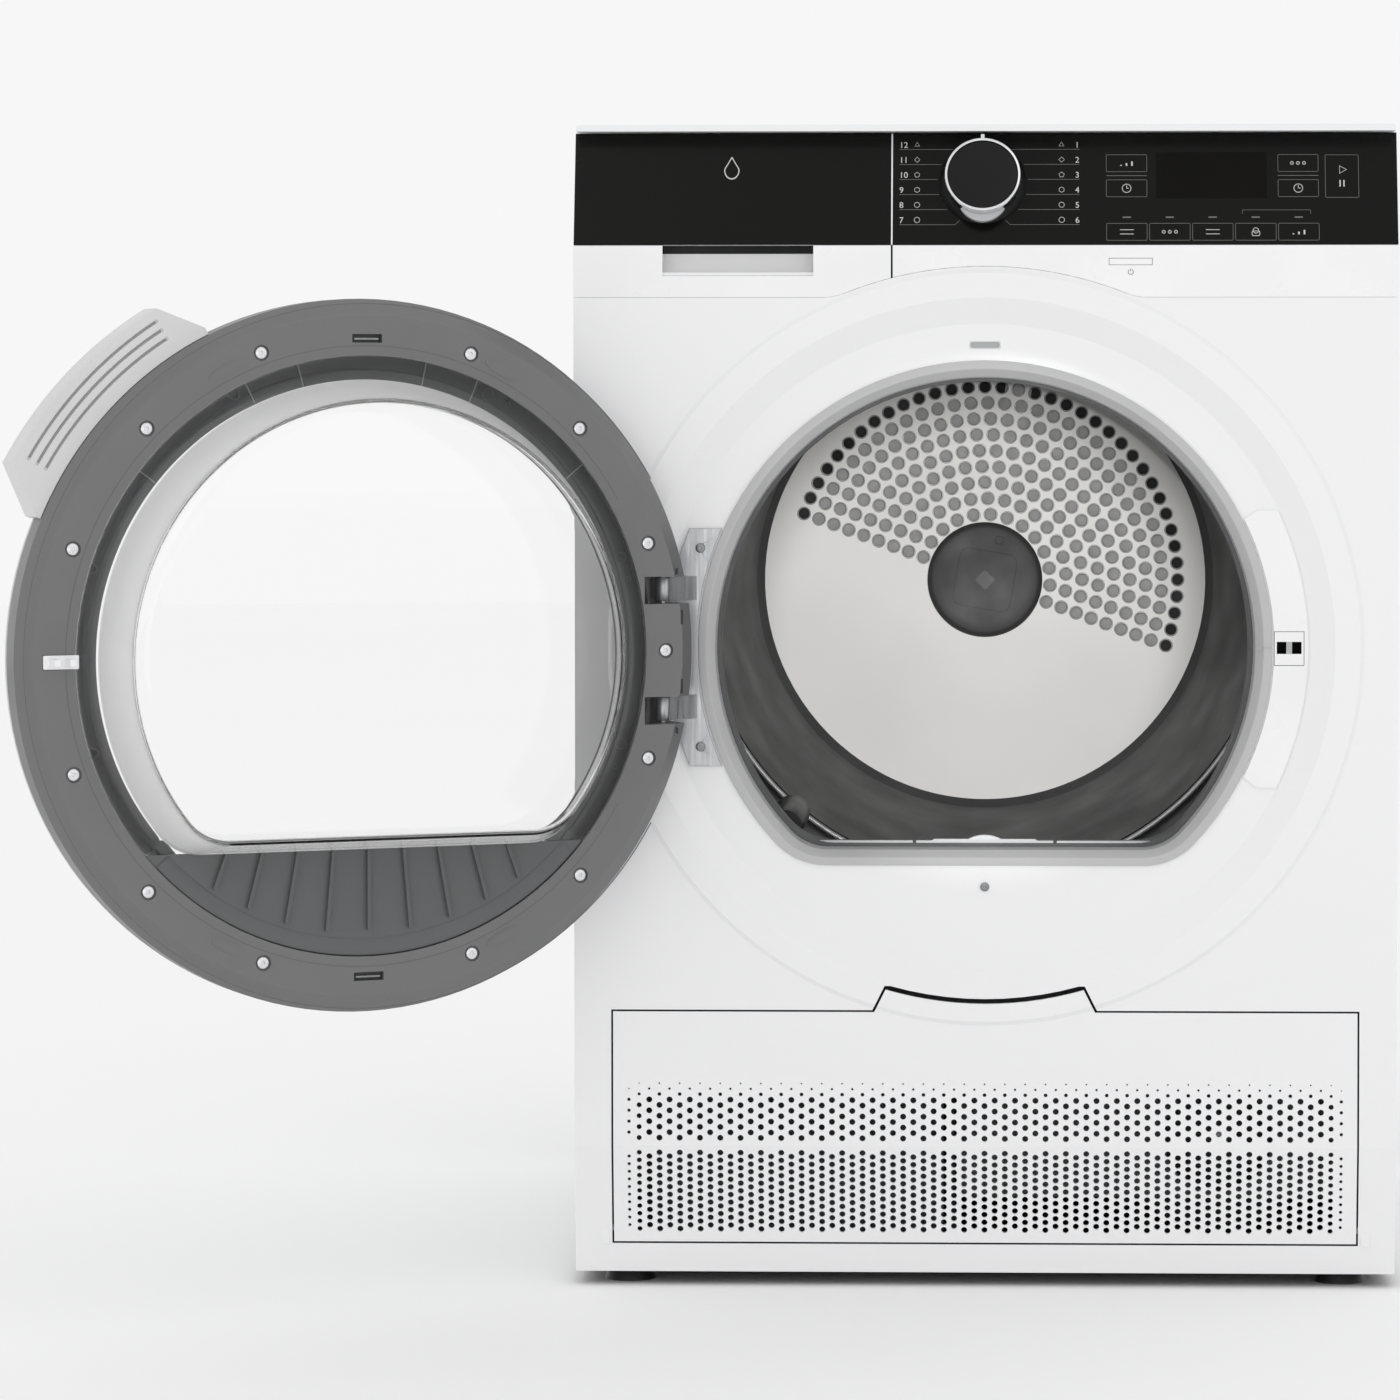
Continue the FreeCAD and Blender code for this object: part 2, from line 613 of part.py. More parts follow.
# ---------------------------------------------------------------------------------------------
# Loading opening
# ---------------------------------------------------------------------------------------------
def make_front_bulkhead():
    y0, y1 = f"({FRONT}) + 38", f"({FRONT}) + 41.5"
    plate = box("-290", "290", y0, y1, "62", "tank_floor - 8")
    drum_ring = tube("0", y1, "drum_z", "lip_rad - 4", "lip_rad - 7", "drum_front - 41.5 + 12")
    throat = d_prism("mouth_rad + 4", "mouth_drop + 3", f"({FRONT}) + mouth_deep + 0.5", f"{y1} + 26")
    pocket = box("-58", "58", f"({FRONT}) + mouth_deep + 2", f"({FRONT}) + 69", "190", "load_z - 148")
    hollow = box("-54", "54", f"({FRONT}) + mouth_deep + 5.5", f"({FRONT}) + 66", "193.5", "load_z - 140")
    opening = d_prism("mouth_rad + 0.4", "mouth_drop - 0.5", f"({FRONT}) + 30", f"({FRONT}) + 90")
    stubs = []
    for side in (-1, 1):
        x, z = roller_spot(side)
        stubs.append(cylinder(x, f"{y1} - 1", z, "roller_pin", "38"))
        stubs.append(cylinder(x, f"{y1} - 1", z, "9", "9"))
    duct = box("70", "290", f"({FRONT}) + 40", f"({FRONT}) + 44", "62", "200")
    hole = cylinder("motor_x", f"({FRONT}) + 30", "motor_z", "40", "30")
    bay = box("-252", "-20", f"({FRONT}) + 30", f"({FRONT}) + 50", "60", "189.5")
    solid = cut(fuse(plate, drum_ring, throat, pocket, duct), opening, hollow, hole, bay)
    return keep(fuse(solid, *stubs), "front_bulkhead")


def roller_spot(side):
    """Where a front roller's pin is, as (x, z)."""
    reach = "(drum_rad + drum_sheet + roller_rad + 0.35)"
    return f"{side} * {reach} * sin(roller_turn)", f"drum_z - {reach} * cos(roller_turn)"


def make_door_seal():
    flange_y = f"({FLOOR_Y}) - 2"
    inner = f"({FRONT}) + mouth_deep"
    flange = d_prism("seal_rad", "load_drop + 4.5", flange_y, FLOOR_Y)
    funnel = d_loft(("load_rad - 0.4", "load_drop - 0.4", FLOOR_Y),
                    ("mouth_rad + 3.5", "mouth_drop + 2.6", inner))
    mouth = d_loft(("load_rad - 2", "load_drop - 2.4", f"{flange_y} - 0.1"),
                   ("mouth_rad", "mouth_drop", f"{inner} + 0.1"))
    return keep(cut(fuse(flange, funnel), mouth), "door_seal")


def make_hinge_plate():
    """Plate beside the opening with two arms that carry the door on its pins."""
    y0 = f"({FLOOR_Y}) - 2.2"
    plate = prism_y([("hinge_x + 7", "load_z - 58"), ("hinge_x + 18", "load_z - 87"),
                     ("hinge_x + 42", "load_z - 87"), ("hinge_x + 42", "load_z + 87"),
                     ("hinge_x + 18", "load_z + 87"), ("hinge_x + 7", "load_z + 58")], y0, FLOOR_Y)
    round_seal = cylinder("0", f"{y0} - 1", "load_z", "seal_rad + 1.2", "5")
    holes = [cylinder("hinge_x + 26", f"{y0} - 1", f"load_z + {s} * 72.6", "shank_rad + 0.1", "5")
             for s in (-1, 1)]
    arms = []
    for s in (-1, 1):
        low, high = f"load_z + {s} * arm_z - arm_high / 2", f"load_z + {s} * arm_z + arm_high / 2"
        strap = prism_z([("hinge_x + 1.2", f"({HINGE_Y}) - 1.6"), ("hinge_x + 23.4", y0),
                         ("hinge_x + 23.4", FLOOR_Y), ("hinge_x + 19", FLOOR_Y),
                         ("hinge_x - 1.2", f"({HINGE_Y}) + 1.6")], low, high)
        eye = cylinder("hinge_x", HINGE_Y, low, "5.4", "arm_high", "z")
        bore = cylinder("hinge_x", HINGE_Y, f"{low} - 1", "pin_rad + fit_gap", "arm_high + 2", "z")
        arms.append(cut(fuse(strap, eye), bore))
    return keep(fuse(cut(plate, round_seal, *holes), *arms), "hinge_plate")


def make_latch_cover():
    """A sickle-shaped cover plate on the dish floor with a window for the door catch."""
    y0 = f"({FLOOR_Y}) - 1.8"
    ring = tube("0", y0, "load_z", "dish_rad - 0.6", "seal_rad + 1.2", "1.8")
    span = prism_y([("180", "load_z - 88"), ("198", "load_z - 102"), ("245", "load_z - 102"),
                    ("245", "load_z + 100"), ("198", "load_z + 100"), ("180", "load_z + 88")],
                   f"{y0} - 1", f"({FLOOR_Y}) + 1")
    window = box("latch_x - 11", "latch_x + 11", f"{y0} - 1", f"({FLOOR_Y}) + 1",
                 "load_z - 13", "load_z + 12")
    return keep(cut(common(ring, span), window), "latch_cover")


def make_door_latch():
    front = f"({FLOOR_Y}) - 1.4"
    block = box("latch_x - 10.6", "latch_x + 10.6", front, f"({FRONT}) + 30",
                "load_z - 12.6", "load_z + 11.6")
    ports = [box(f"latch_x + {x} - 3.5", f"latch_x + {x} + 3.5", f"{front} - 1", f"({FRONT}) + 24",
                 "load_z - 4.4", "load_z + 4.4") for x in (-5.5, 5.5)]
    return keep(cut(block, *ports), "door_latch")


def screw(x, head_y, z, head, length):
    """A pan-head screw whose head faces the front."""
    return fuse(cylinder(x, f"({head_y}) - {head}", z, "screw_rad", head),
                cylinder(x, head_y, z, "shank_rad", length))


def make_cabinet_screws():
    screws = [screw("0", FLOOR_Y, "load_z - 175", "1.4", "8")]
    for s in (-1, 1):
        screws.append(screw("hinge_x + 26", f"({FLOOR_Y}) - 2.2", f"load_z + {s} * 72.6", "1.3", "10"))
    for x in (-270, 270):
        for z in (60, 300, 540, 780):
            screws.append(cylinder(f"{x}", REAR, f"{z}", "screw_rad", "1.6"))
    return keep(group(*screws), "cabinet_screws")


# ---------------------------------------------------------------------------------------------
# Fascia and controls
# ---------------------------------------------------------------------------------------------
def fascia_profile(inset, low, high):
    """Side view of the fascia: upright band, then the leaning face behind the glass."""
    return [(f"({FRONT}) + {inset}", low), (f"({FRONT}) + {inset}", "glass_z - 0.4"),
            (lean_y("glass_z - 0.4", f"glass_thick + {inset} + 0.02"), "glass_z - 0.4"),
            (lean_y(high, f"glass_thick + {inset} + 0.02"), high),
            (f"({FRONT}) + fascia_deep - {inset}", high), (f"({FRONT}) + fascia_deep - {inset}", low)]


def make_control_fascia():
    left = "tank_edge + 1.2"
    outer = prism_x(fascia_profile("0", "fascia_z", "fascia_top - 0.2"), left, SIDE)
    hollow = prism_x(fascia_profile("wall", "fascia_z - 1", "fascia_top - 3"),
                     f"{left} + wall", f"({SIDE}) - wall")
    tilt = cylinder("knob_x", "0", "0", "spindle_rad + fit_gap", "60")
    spindle = on_slope(tilt, "knob_x", "knob_z", 30)
    key = box("power_x - power_wide / 2 - 0.4", "power_x + power_wide / 2 + 0.4",
              f"({FRONT}) - 1", f"({FRONT}) + 8",
              "power_z - power_high / 2 - 0.4", "power_z + power_high / 2 + 0.4")
    rear = box("-50", f"({SIDE}) - 12", f"({FRONT}) + 31", f"({FRONT}) + 60",
               "fascia_z - 1", "fascia_top - 6")
    solid = cut(outer, hollow, key, spindle, rear, under_fascia(-0.2))
    return keep(solid, "control_fascia")


def slope_angle():
    """How far the fascia glass leans back from upright, in degrees."""
    return math.degrees(math.atan2(size["fascia_lean"], size["fascia_top"] - size["glass_z"]))


def on_slope(shape, x, z, behind):
    """Move a Y-parallel shape made at the origin so that it stands square on the fascia glass."""
    wrap = doc.addObject("Part::Compound", "on_slope")
    wrap.Links = [shape]
    angle = slope_angle()
    shape.Placement.Base = V(0, 0, 0)
    for axis in "xyz":
        shape.setExpression(f"Placement.Base.{axis}", None)
    back = V(0, math.cos(math.radians(angle)), -math.sin(math.radians(angle)))
    spot = V(number(x), number(lean_y(z)), number(z)) + back * (-behind)
    wrap.Placement = FreeCAD.Placement(spot, FreeCAD.Rotation(V(1, 0, 0), -angle))
    return wrap


def glass_profile():
    return [(lean_y("glass_z"), "glass_z"), (lean_y("glass_z", "glass_thick"), "glass_z"),
            (lean_y("fascia_top", "glass_thick"), "fascia_top"), (lean_y("fascia_top"), "fascia_top")]


def make_fascia_glass():
    sheet_glass = prism_x(glass_profile(), "tank_edge + 1.2", f"({SIDE}) - 0.2")
    hole = on_slope(cylinder("0", "0", "0", "10", "60"), "knob_x", "knob_z", 30)
    return keep(cut(sheet_glass, hole), "fascia_glass")


def make_control_board():
    board = box("20", "270", f"({FRONT}) + 33.6", f"({FRONT}) + 35.2", "762", "832")
    display = box("126", "204", f"({FRONT}) + 26", f"({FRONT}) + 33.6", "790", "828")
    chips = [box(f"{x}", f"{x} + 16", f"({FRONT}) + 35.2", f"({FRONT}) + 39", "786", "800")
             for x in (50, 120, 190)]
    encoder = box("-16", "12", f"({FRONT}) + 33.6", f"({FRONT}) + 40", "790", "816")
    bridge = box("10", "22", f"({FRONT}) + 33.6", f"({FRONT}) + 35.2", "790", "816")
    return keep(fuse(board, display, *chips, encoder, bridge), "control_board")


def make_knob():
    """Programme knob: black body with a skirt and spindle, and a chrome ring."""
    skirt = cone("0", "0", "0", "skirt_rad - 3", "skirt_rad", "5")
    waist = cylinder("0", "0", "0", "knob_rad - 2.6", "19")
    spindle = cylinder("0", "0", "0", "spindle_rad", "22")
    body = fuse(on_slope(skirt, "knob_x", "knob_z", 5.6), on_slope(waist, "knob_x", "knob_z", 19.6),
                on_slope(spindle, "knob_x", "knob_z", 5))
    ring = cut(on_slope(cylinder("0", "0", "0", "knob_rad", "14"), "knob_x", "knob_z", 20.6),
               on_slope(cylinder("0", "0", "0", "knob_rad - 2.55", "16"), "knob_x", "knob_z", 21.6))
    return keep(body, "knob_body"), keep(ring, "knob_ring")


def make_power_button():
    y = f"({FRONT}) + 0.3"
    key = box("power_x - power_wide / 2", "power_x + power_wide / 2", y, f"{y} + 7",
              "power_z - power_high / 2", "power_z + power_high / 2")
    flange = box("power_x - power_wide / 2 - 2", "power_x + power_wide / 2 + 2",
                 f"({FRONT}) + wall + 0.3", f"({FRONT}) + wall + 1.8",
                 "power_z - power_high / 2 - 2", "power_z + power_high / 2 + 2")
    return keep(fuse(key, flange), "power_button")


# ---------------------------------------------------------------------------------------------
# Water tank drawer
# ---------------------------------------------------------------------------------------------
def make_tank():
    left, right = f"-({SIDE}) + 8", "tank_edge - 8"
    front, step = f"({FRONT}) + 27", f"({FRONT}) + 35"
    vessel = fuse(box(left, right, f"({FRONT}) + 29", "tank_deep", "tank_floor", "tank_roof"),
                  box(left, right, front, step, "fascia_z + 12", "tank_roof"))
    hollow = box(f"{left} + wall", f"{right} - wall", f"{step} - 2", "tank_deep - wall",
                 "tank_floor + wall", "tank_roof - wall")
    mouth = cylinder("-180", "tank_deep - 40", "tank_roof - 5", "16", "10", "z")
    body = keep(cut(vessel, hollow, mouth), "tank_body")

    end = "tank_edge - 0.2"
    outer = prism_x(fascia_profile("0", "fascia_z", "fascia_top - 0.2"), f"-({SIDE})", end)
    back = box(f"-({SIDE}) - 1", "tank_edge + 1", f"({FRONT}) + 26.9", f"({FRONT}) + 60",
               "fascia_z - 1", "fascia_top + 1")
    hollow = prism_x(fascia_profile("wall", "fascia_z - 1", "fascia_top - 3"),
                     f"-({SIDE}) + wall", "tank_edge - 0.2 - wall")
    grip_left, grip_right = "-241", "-119"
    scoop = cylinder(f"{grip_left} + 6", f"({FRONT}) - 4", "glass_z - 4", "19",
                     f"{grip_right} - ({grip_left}) - 12", "x")
    pocket = box(grip_left, grip_right, f"({FRONT}) + 1.4", f"({FRONT}) + 20",
                 "glass_z - 22", "glass_z + 18")
    cavity = box(f"{grip_left} + 2", f"{grip_right} - 2", f"({FRONT}) - 1", f"({FRONT}) + 18",
                 "glass_z - 20", "glass_z + 16")
    band = fuse(cut(outer, hollow, back, under_fascia(-0.2)),
                cut(pocket, cavity, box(f"{grip_left} - 1", f"{grip_right} + 1", f"({FRONT}) - 5",
                                        f"({FRONT}) + 8", "glass_z - 1", "glass_z + 30")))
    mouth_cut = common(scoop, box(grip_left, grip_right, f"({FRONT}) - 1", f"({FRONT}) + wall + 0.1",
                                  "glass_z - 23", "glass_z - 0.2"))
    front_piece = keep(cut(band, mouth_cut), "tank_front")
    glass = keep(prism_x(glass_profile(), f"-({SIDE}) + 0.2", end), "tank_glass")
    return body, front_piece, glass


def make_tank_sleeve():
    left, right = f"-({SIDE}) + 3", "tank_edge - 3"
    outer = box(left, right, f"({FRONT}) + 37", "tank_deep + 12", "tank_floor - 3.4", "tank_roof + 4.6")
    inner = box(f"{left} + 3", f"{right} - 3", f"({FRONT}) + 36", "tank_deep + 9",
                "tank_floor - 1.2", "tank_roof + 2.8")
    return keep(cut(outer, inner), "tank_sleeve")


# ---------------------------------------------------------------------------------------------
# Door, modelled closed
# ---------------------------------------------------------------------------------------------
DOOR_SCREW_TURNS = (-110, -70, -45, -20, 20, 45, 70, 110, 135, 160, 180, -160, -135)
SPLIT_Y = f"({HINGE_Y}) - door_split"
OUTER_Y = f"({HINGE_Y}) - door_front"


def hinge_pockets():
    """The room in the door rim that each hinge arm sweeps, from closed to fully open."""
    pockets = []
    for s in (-1, 1):
        low = f"load_z + {s} * arm_z - arm_high / 2 - 1.4"
        high = f"load_z + {s} * arm_z + arm_high / 2 + 1.4"
        pockets.append(prism_z([
            ("hinge_x - 30", f"({HINGE_Y}) - 14.5"), ("hinge_x + 7", f"({HINGE_Y}) - 7.6"),
            ("hinge_x + 10", HINGE_Y), ("hinge_x + 24", f"({HINGE_Y}) + 17"),
            ("hinge_x + 24", f"({HINGE_Y}) + 30"), ("hinge_x - 30", f"({HINGE_Y}) + 30")], low, high))
    return pockets


def door_spot(turn, radius):
    """(x, z) on the closed door at a direction and distance from its centre."""
    return f"{radius} * cos({turn})", f"load_z + {radius} * sin({turn})"


def make_door_frame():
    ring = revolve([(FACE_Y, "frame_bore"), (FACE_Y, "frame_flat"),
                    (f"({FACE_Y}) - 12", "door_rad"), (SPLIT_Y, "door_rad"),
                    (SPLIT_Y, "bowl_flange + 1"), (f"({FACE_Y}) - 6", "bowl_flange + 1"),
                    (f"({FACE_Y}) - 6", "frame_bore")], "load_z")
    wells = []
    for turn in DOOR_SCREW_TURNS:
        x, z = door_spot(turn, "door_screw_rad")
        wells.append(cylinder(x, f"({FACE_Y}) - 2.2", z, "5.6", "5"))
        wells.append(cylinder(x, f"({FACE_Y}) - 30", z, "shank_rad + 0.1", "30"))
    slots = [box("-11", "11", f"({FACE_Y}) - 4", f"({FACE_Y}) + 1",
                 f"load_z + {z} - 3", f"load_z + {z} + 3")
             for z in (223, -225)]
    bores = [cylinder("hinge_x", HINGE_Y, f"load_z + {s} * arm_z - 18", "pin_rad", "36", "z")
             for s in (-1, 1)]
    seat = box("door_screw_rad - 18", "door_screw_rad + 8", f"({FACE_Y}) - 3", f"({FACE_Y}) + 1",
               "load_z - 5.2", "load_z + 5.2")
    return keep_on_door(cut(ring, *hinge_pockets(), *wells, *slots, *bores, seat), "door_frame")


def make_door_bezel():
    """Outer trim ring: it holds the front pane and wraps round the rim."""
    ring = revolve([(f"({SPLIT_Y}) - 0.1", "door_rad"), (f"({SPLIT_Y}) - 6", "door_rad - 0.6"),
                    (f"({SPLIT_Y}) - 12", "door_rad - 4"), (OUTER_Y, "door_rad - 10"),
                    (OUTER_Y, "frame_bore - 5"), (f"({OUTER_Y}) + 4", "frame_bore - 5"),
                    (f"({OUTER_Y}) + 4", "door_rad - 14"),
                    (f"({SPLIT_Y}) - 0.1", "door_rad - 8")], "load_z")
    return keep_on_door(cut(ring, *hinge_pockets()), "door_bezel")


def make_door_glass():
    pane = cylinder("0", f"({OUTER_Y}) + 4.1", "load_z", "frame_bore + 14", "4")
    return keep_on_door(group(pane), "door_glass")


def make_door_bowl():
    """Clear bowl that reaches into the loading opening and keeps the washing off the seal."""
    flange_y = f"({FACE_Y}) - 6.1"
    rim = cylinder("0", f"({flange_y}) - 4", "load_z", "bowl_flange", "4")
    body = d_loft(("bowl_rad", "bowl_drop + 6", f"({flange_y}) - 4"),
                  ("bowl_face_rad", "bowl_drop - 4", f"({FACE_Y}) + bowl_deep"), "40")
    hollow = d_loft(("bowl_rad - bowl_wall", "bowl_drop + 6 - bowl_wall", f"({flange_y}) - 4.1"),
                    ("bowl_face_rad - bowl_wall", "bowl_drop - 4 - bowl_wall",
                     f"({FACE_Y}) + bowl_deep - bowl_wall"), "37")
    return keep_on_door(cut(fuse(rim, body), hollow), "door_bowl")


def make_door_sill():
    """Dark air guide with fan ribs, below the bowl's flat bottom."""
    back, front = f"({FACE_Y}) - 5.9", f"({FACE_Y}) - 1"
    segment = common(cylinder("0", back, "load_z", "frame_bore - 0.5", "4"),
                     box("-220", "220", f"{back} - 1", front, "load_z - 230",
                         "load_z - bowl_drop - 7.5"))
    ribs = []
    for i in range(9):
        x, z = f"-104 + 26 * {i}", "load_z - bowl_drop - 9"
        rib = box("-1.2", "1.2", f"{back} + 3.9", f"{back} + 7.4", "-56", "0")
        ribs.append(turned(rib, f"{(4 - i) * 5}", V(0, 1, 0), x, "0", z))
    keep_in = cylinder("0", f"{back} - 1", "load_z", "frame_bore - 16", "20")
    return keep_on_door(fuse(segment, common(fuse(*ribs), keep_in)), "door_sill")


def make_door_handle():
    """Grip that stands out past the rim, with three grooves along its back."""
    y0, y1 = f"({OUTER_Y}) + 4", f"({FACE_Y}) - 13"
    ring = tube("0", y0, "load_z", "grip_rad", "door_rad + 0.2", f"({y1}) - ({y0})")
    sector = prism_y([("0", "load_z"), ("380 * cos(grip_low - 1)", "load_z + 380 * sin(grip_low - 1)"),
                      ("420 * cos(45)", "load_z + 420 * sin(45)"),
                      ("380 * cos(grip_high)", "load_z + 380 * sin(grip_high)")],
                     f"{y0} - 1", f"{y1} + 1")
    ends = []
    for turn, side in (("grip_low + 4.6", -1), ("grip_high - 5.2", 1)):
        wedge = box("-60", "60", f"{y0} - 2", f"{y1} + 2", "0", "80")
        x, z = door_spot(turn, "grip_rad")
        lean = f"-({turn}) + {90 - 52 * side}"
        ends.append(turned(wedge, lean, V(0, 1, 0), x, "0", z))
    grooves = [tube("0", f"{y1} - 1.2", "load_z", f"{r} + 1", f"{r} - 1", "3") for r in (277, 270, 263)]
    span = prism_y([("0", "load_z"), ("420 * cos(grip_low + 6)", "load_z + 420 * sin(grip_low + 6)"),
                    ("420 * cos(grip_high - 6)", "load_z + 420 * sin(grip_high - 6)")],
                   f"{y1} - 3", f"{y1} + 3")
    return keep_on_door(cut(common(ring, sector), *ends, common(fuse(*grooves), span)), "door_handle")


def make_door_striker():
    base = box("door_screw_rad - 17.6", "door_screw_rad + 7.6", f"({FACE_Y}) - 2.9", f"({FACE_Y}) + 0.2",
               "load_z - 4.8", "load_z + 4.8")
    prongs = [box(f"latch_x + {x} - 2.2", f"latch_x + {x} + 2.2", f"({FACE_Y}) + 0.1",
                  f"({FACE_Y}) + 14", "load_z - 2.6", "load_z + 2.6") for x in (-5.5, 5.5)]
    return keep_on_door(fuse(base, *prongs), "door_striker")


def make_door_screws():
    screws = []
    for turn in DOOR_SCREW_TURNS:
        x, z = door_spot(turn, "door_screw_rad")
        screws.append(fuse(cylinder(x, f"({FACE_Y}) - 2.2", z, "screw_rad + 0.9", "1.8"),
                           cylinder(x, f"({FACE_Y}) - 14", z, "shank_rad", "12")))
    return keep_on_door(group(*screws), "door_screws")


def make_hinge_pins():
    pins = [cylinder("hinge_x", HINGE_Y, f"load_z + {s} * arm_z - 18", "pin_rad", "36", "z")
            for s in (-1, 1)]
    return keep_on_door(group(*pins), "hinge_pins")


# ---------------------------------------------------------------------------------------------
# Drum
# ---------------------------------------------------------------------------------------------
def make_drum_shell():
    """Front cylinder, step and rear cone, rolled from one sheet."""
    line = [(DRUM_FRONT, "lip_rad"), (f"({DRUM_FRONT}) + 6", "lip_rad"),
            (f"({DRUM_FRONT}) + 16", "drum_rad"), (DRUM_STEP, "drum_rad"),
            (f"({DRUM_STEP}) + 10", "cone_rad"), (f"({DRUM_STEP}) + 60", "cone_rad - 8"),
            (f"({DRUM_STEP}) + 68", "cone_rad - 14"), (f"({DRUM_BACK}) - 14", "back_rad + 6"),
            (DRUM_BACK, "back_rad")]
    outer = [(y, f"({r}) + drum_sheet") for y, r in reversed(line)]
    return keep(revolve(line + outer, "drum_z"), "drum_shell")


def air_holes():
    """Centres of the air holes, on nine half rings, as (x, z) from the drum axis."""
    spots = []
    for ring in range(9):
        radius = size["air_ring"] - ring * size["air_pitch"]
        steps = 36 - 3 * ring
        for step in range(steps + 1):
            turn = math.radians(size["air_turn"] + 180 * step / steps)
            spots.append((radius * math.cos(turn), radius * math.sin(turn)))
    return spots


def perforated_disc(radius, thickness, y, height, bore):
    """A disc square to Y with the half pattern of air holes and a bore in the middle."""
    along = V(0, 1, 0)
    rim = Part.Wire(Part.makeCircle(radius, V(0, y, height), along))
    inner = [Part.Wire(Part.makeCircle(bore, V(0, y, height), along))]
    for x, z in air_holes():
        inner.append(Part.Wire(Part.makeCircle(size["air_hole"], V(x, y, height + z), along)))
    face = Part.makeFace([rim] + inner, "Part::FaceMakerBullseye")
    return face.extrude(V(0, thickness, 0))


def make_drum_back():
    y = size["drum_back"] - size["cab_deep"] / 2
    disc = fixed_shape(lambda: perforated_disc(size["back_rad"] - 0.02, size["drum_sheet"],
                                               y, size["drum_z"], size["shaft_rad"]))
    return keep(disc, "drum_back")


def make_drum_lifters():
    """Three hollow-backed paddles on the front cylinder, a third of a turn apart."""
    lifters = []
    for turn in (229, 349, 109):
        y0, y1 = f"({DRUM_FRONT}) + 18", f"({DRUM_STEP}) - 4"
        base = prism_y([("drum_rad - 60", "-13"), ("drum_rad + 4", "-27"), ("drum_rad + 4", "27"),
                        ("drum_rad - 60", "13")], y0, y1)
        crest = cylinder("drum_rad - 57", y0, "0", "13.5", f"({y1}) - ({y0})")
        inside = cylinder("0", f"{y0} - 1", "0", "drum_rad - 0.02", "200")
        solid = common(fuse(base, crest), inside)
        lifters.append(turned(solid, f"-({turn})", V(0, 1, 0), "0", "0", "drum_z"))
    return keep(group(*lifters), "drum_lifters")


def make_drum_hub():
    """Cover in the middle of the back, with a raised square and a small diamond."""
    y0 = f"({DRUM_BACK}) - 9"
    dome = cone("0", y0, "drum_z", "hub_rad - 3", "hub_rad", "3")
    disc = cylinder("0", f"{y0} + 3", "drum_z", "hub_rad", "6")
    pads = []
    for half, rise, turn in ((24, 1.4, 10), (6, 2.6, 45)):
        square = box(f"-{half}", f"{half}", f"{y0} - {rise}", f"{y0} + 1", f"-{half}", f"{half}")
        pads.append(turned(square, f"{turn}", V(0, 1, 0), "0", "0", "drum_z"))
    return keep(fuse(dome, disc, *pads), "drum_hub")


def make_drum_shaft():
    shaft = cylinder("0", DRUM_BACK, "drum_z", "shaft_rad - 0.02", "38")
    spider = [turned(box("-11", "11", f"({DRUM_BACK}) + drum_sheet + 0.02",
                         f"({DRUM_BACK}) + 6", "0", "back_rad - 14"),
                     f"{turn}", V(0, 1, 0), "0", "0", "drum_z") for turn in (-110, 130, 10)]
    plate = cylinder("0", f"({DRUM_BACK}) + drum_sheet + 0.02", "drum_z", "30", "6")
    return keep(fuse(shaft, plate, *spider), "drum_shaft")


def make_rear_bearing():
    y0 = f"({DRUM_BACK}) + 14"
    sleeve = tube("0", y0, "drum_z", "18", "shaft_rad + fit_gap", "24")
    flange = tube("0", f"{y0} + 20", "drum_z", "34", "shaft_rad + fit_gap", "4")
    return keep(fuse(sleeve, flange), "rear_bearing")


def make_rear_duct():
    """Round air box behind the drum with a chute from the fan below."""
    y0, y1 = f"({DRUM_BACK}) + 8", f"({REAR}) - 8"
    depth = f"({y1}) - ({y0})"
    cup = cylinder("0", y0, "drum_z", "236", depth)
    chute = box("motor_x - 60", "motor_x + 60", y0, y1, "motor_z + 30", "drum_z - 60")
    inner_cup = cylinder("0", f"{y0} - 1", "drum_z", "233", f"({depth}) - 1.5")
    inner_chute = box("motor_x - 57", "motor_x + 57", f"{y0} + 3", f"{y1} - 2.5",
                      "motor_z + 29", "drum_z - 60")
    hub = cylinder("0", f"{y0} - 2", "drum_z", "34.2", "60")
    return keep(cut(fuse(cup, chute), inner_cup, inner_chute, hub), "rear_duct")


def make_heater():
    """Zigzag heating element on its carrier in the chute."""
    y = f"({DRUM_BACK}) + 24"
    bars = [box("motor_x - 46", "motor_x + 46", y, f"{y} + 6", f"{z}", f"{z} + 3")
            for z in range(206, 270, 12)]
    posts = [box(f"motor_x + {x} - 2", f"motor_x + {x} + 2", f"{y} - 1", f"{y} + 7", "200", "276")
             for x in (-46, 46)]
    return keep(fuse(*bars, *posts), "heater")


# ---------------------------------------------------------------------------------------------
# Drive
# ---------------------------------------------------------------------------------------------
def make_drive_motor():
    can = cylinder("motor_x", "-40", "motor_z", "motor_rad", "108")
    bells = [cone("motor_x", "-62", "motor_z", "30", "motor_rad - 6", "22"),
             cone("motor_x", "68", "motor_z", "motor_rad - 6", "30", "22")]
    lugs = box("motor_x - 50", "motor_x + 50", "-30", "60", "motor_z - 30", "motor_z - 8")
    bore = cylinder("motor_x", "-80", "motor_z", "axle_rad + fit_gap", "200")
    return keep(cut(fuse(can, *bells, lugs), bore), "drive_motor")


def make_motor_pulley():
    axle = cylinder("motor_x", f"({FRONT}) + 62", "motor_z", "axle_rad", "472")
    grooves = tube("motor_x", "belt_y - 2", "motor_z", "pulley_rad", "axle_rad", "belt_wide + 4")
    return keep(fuse(axle, grooves), "motor_pulley")


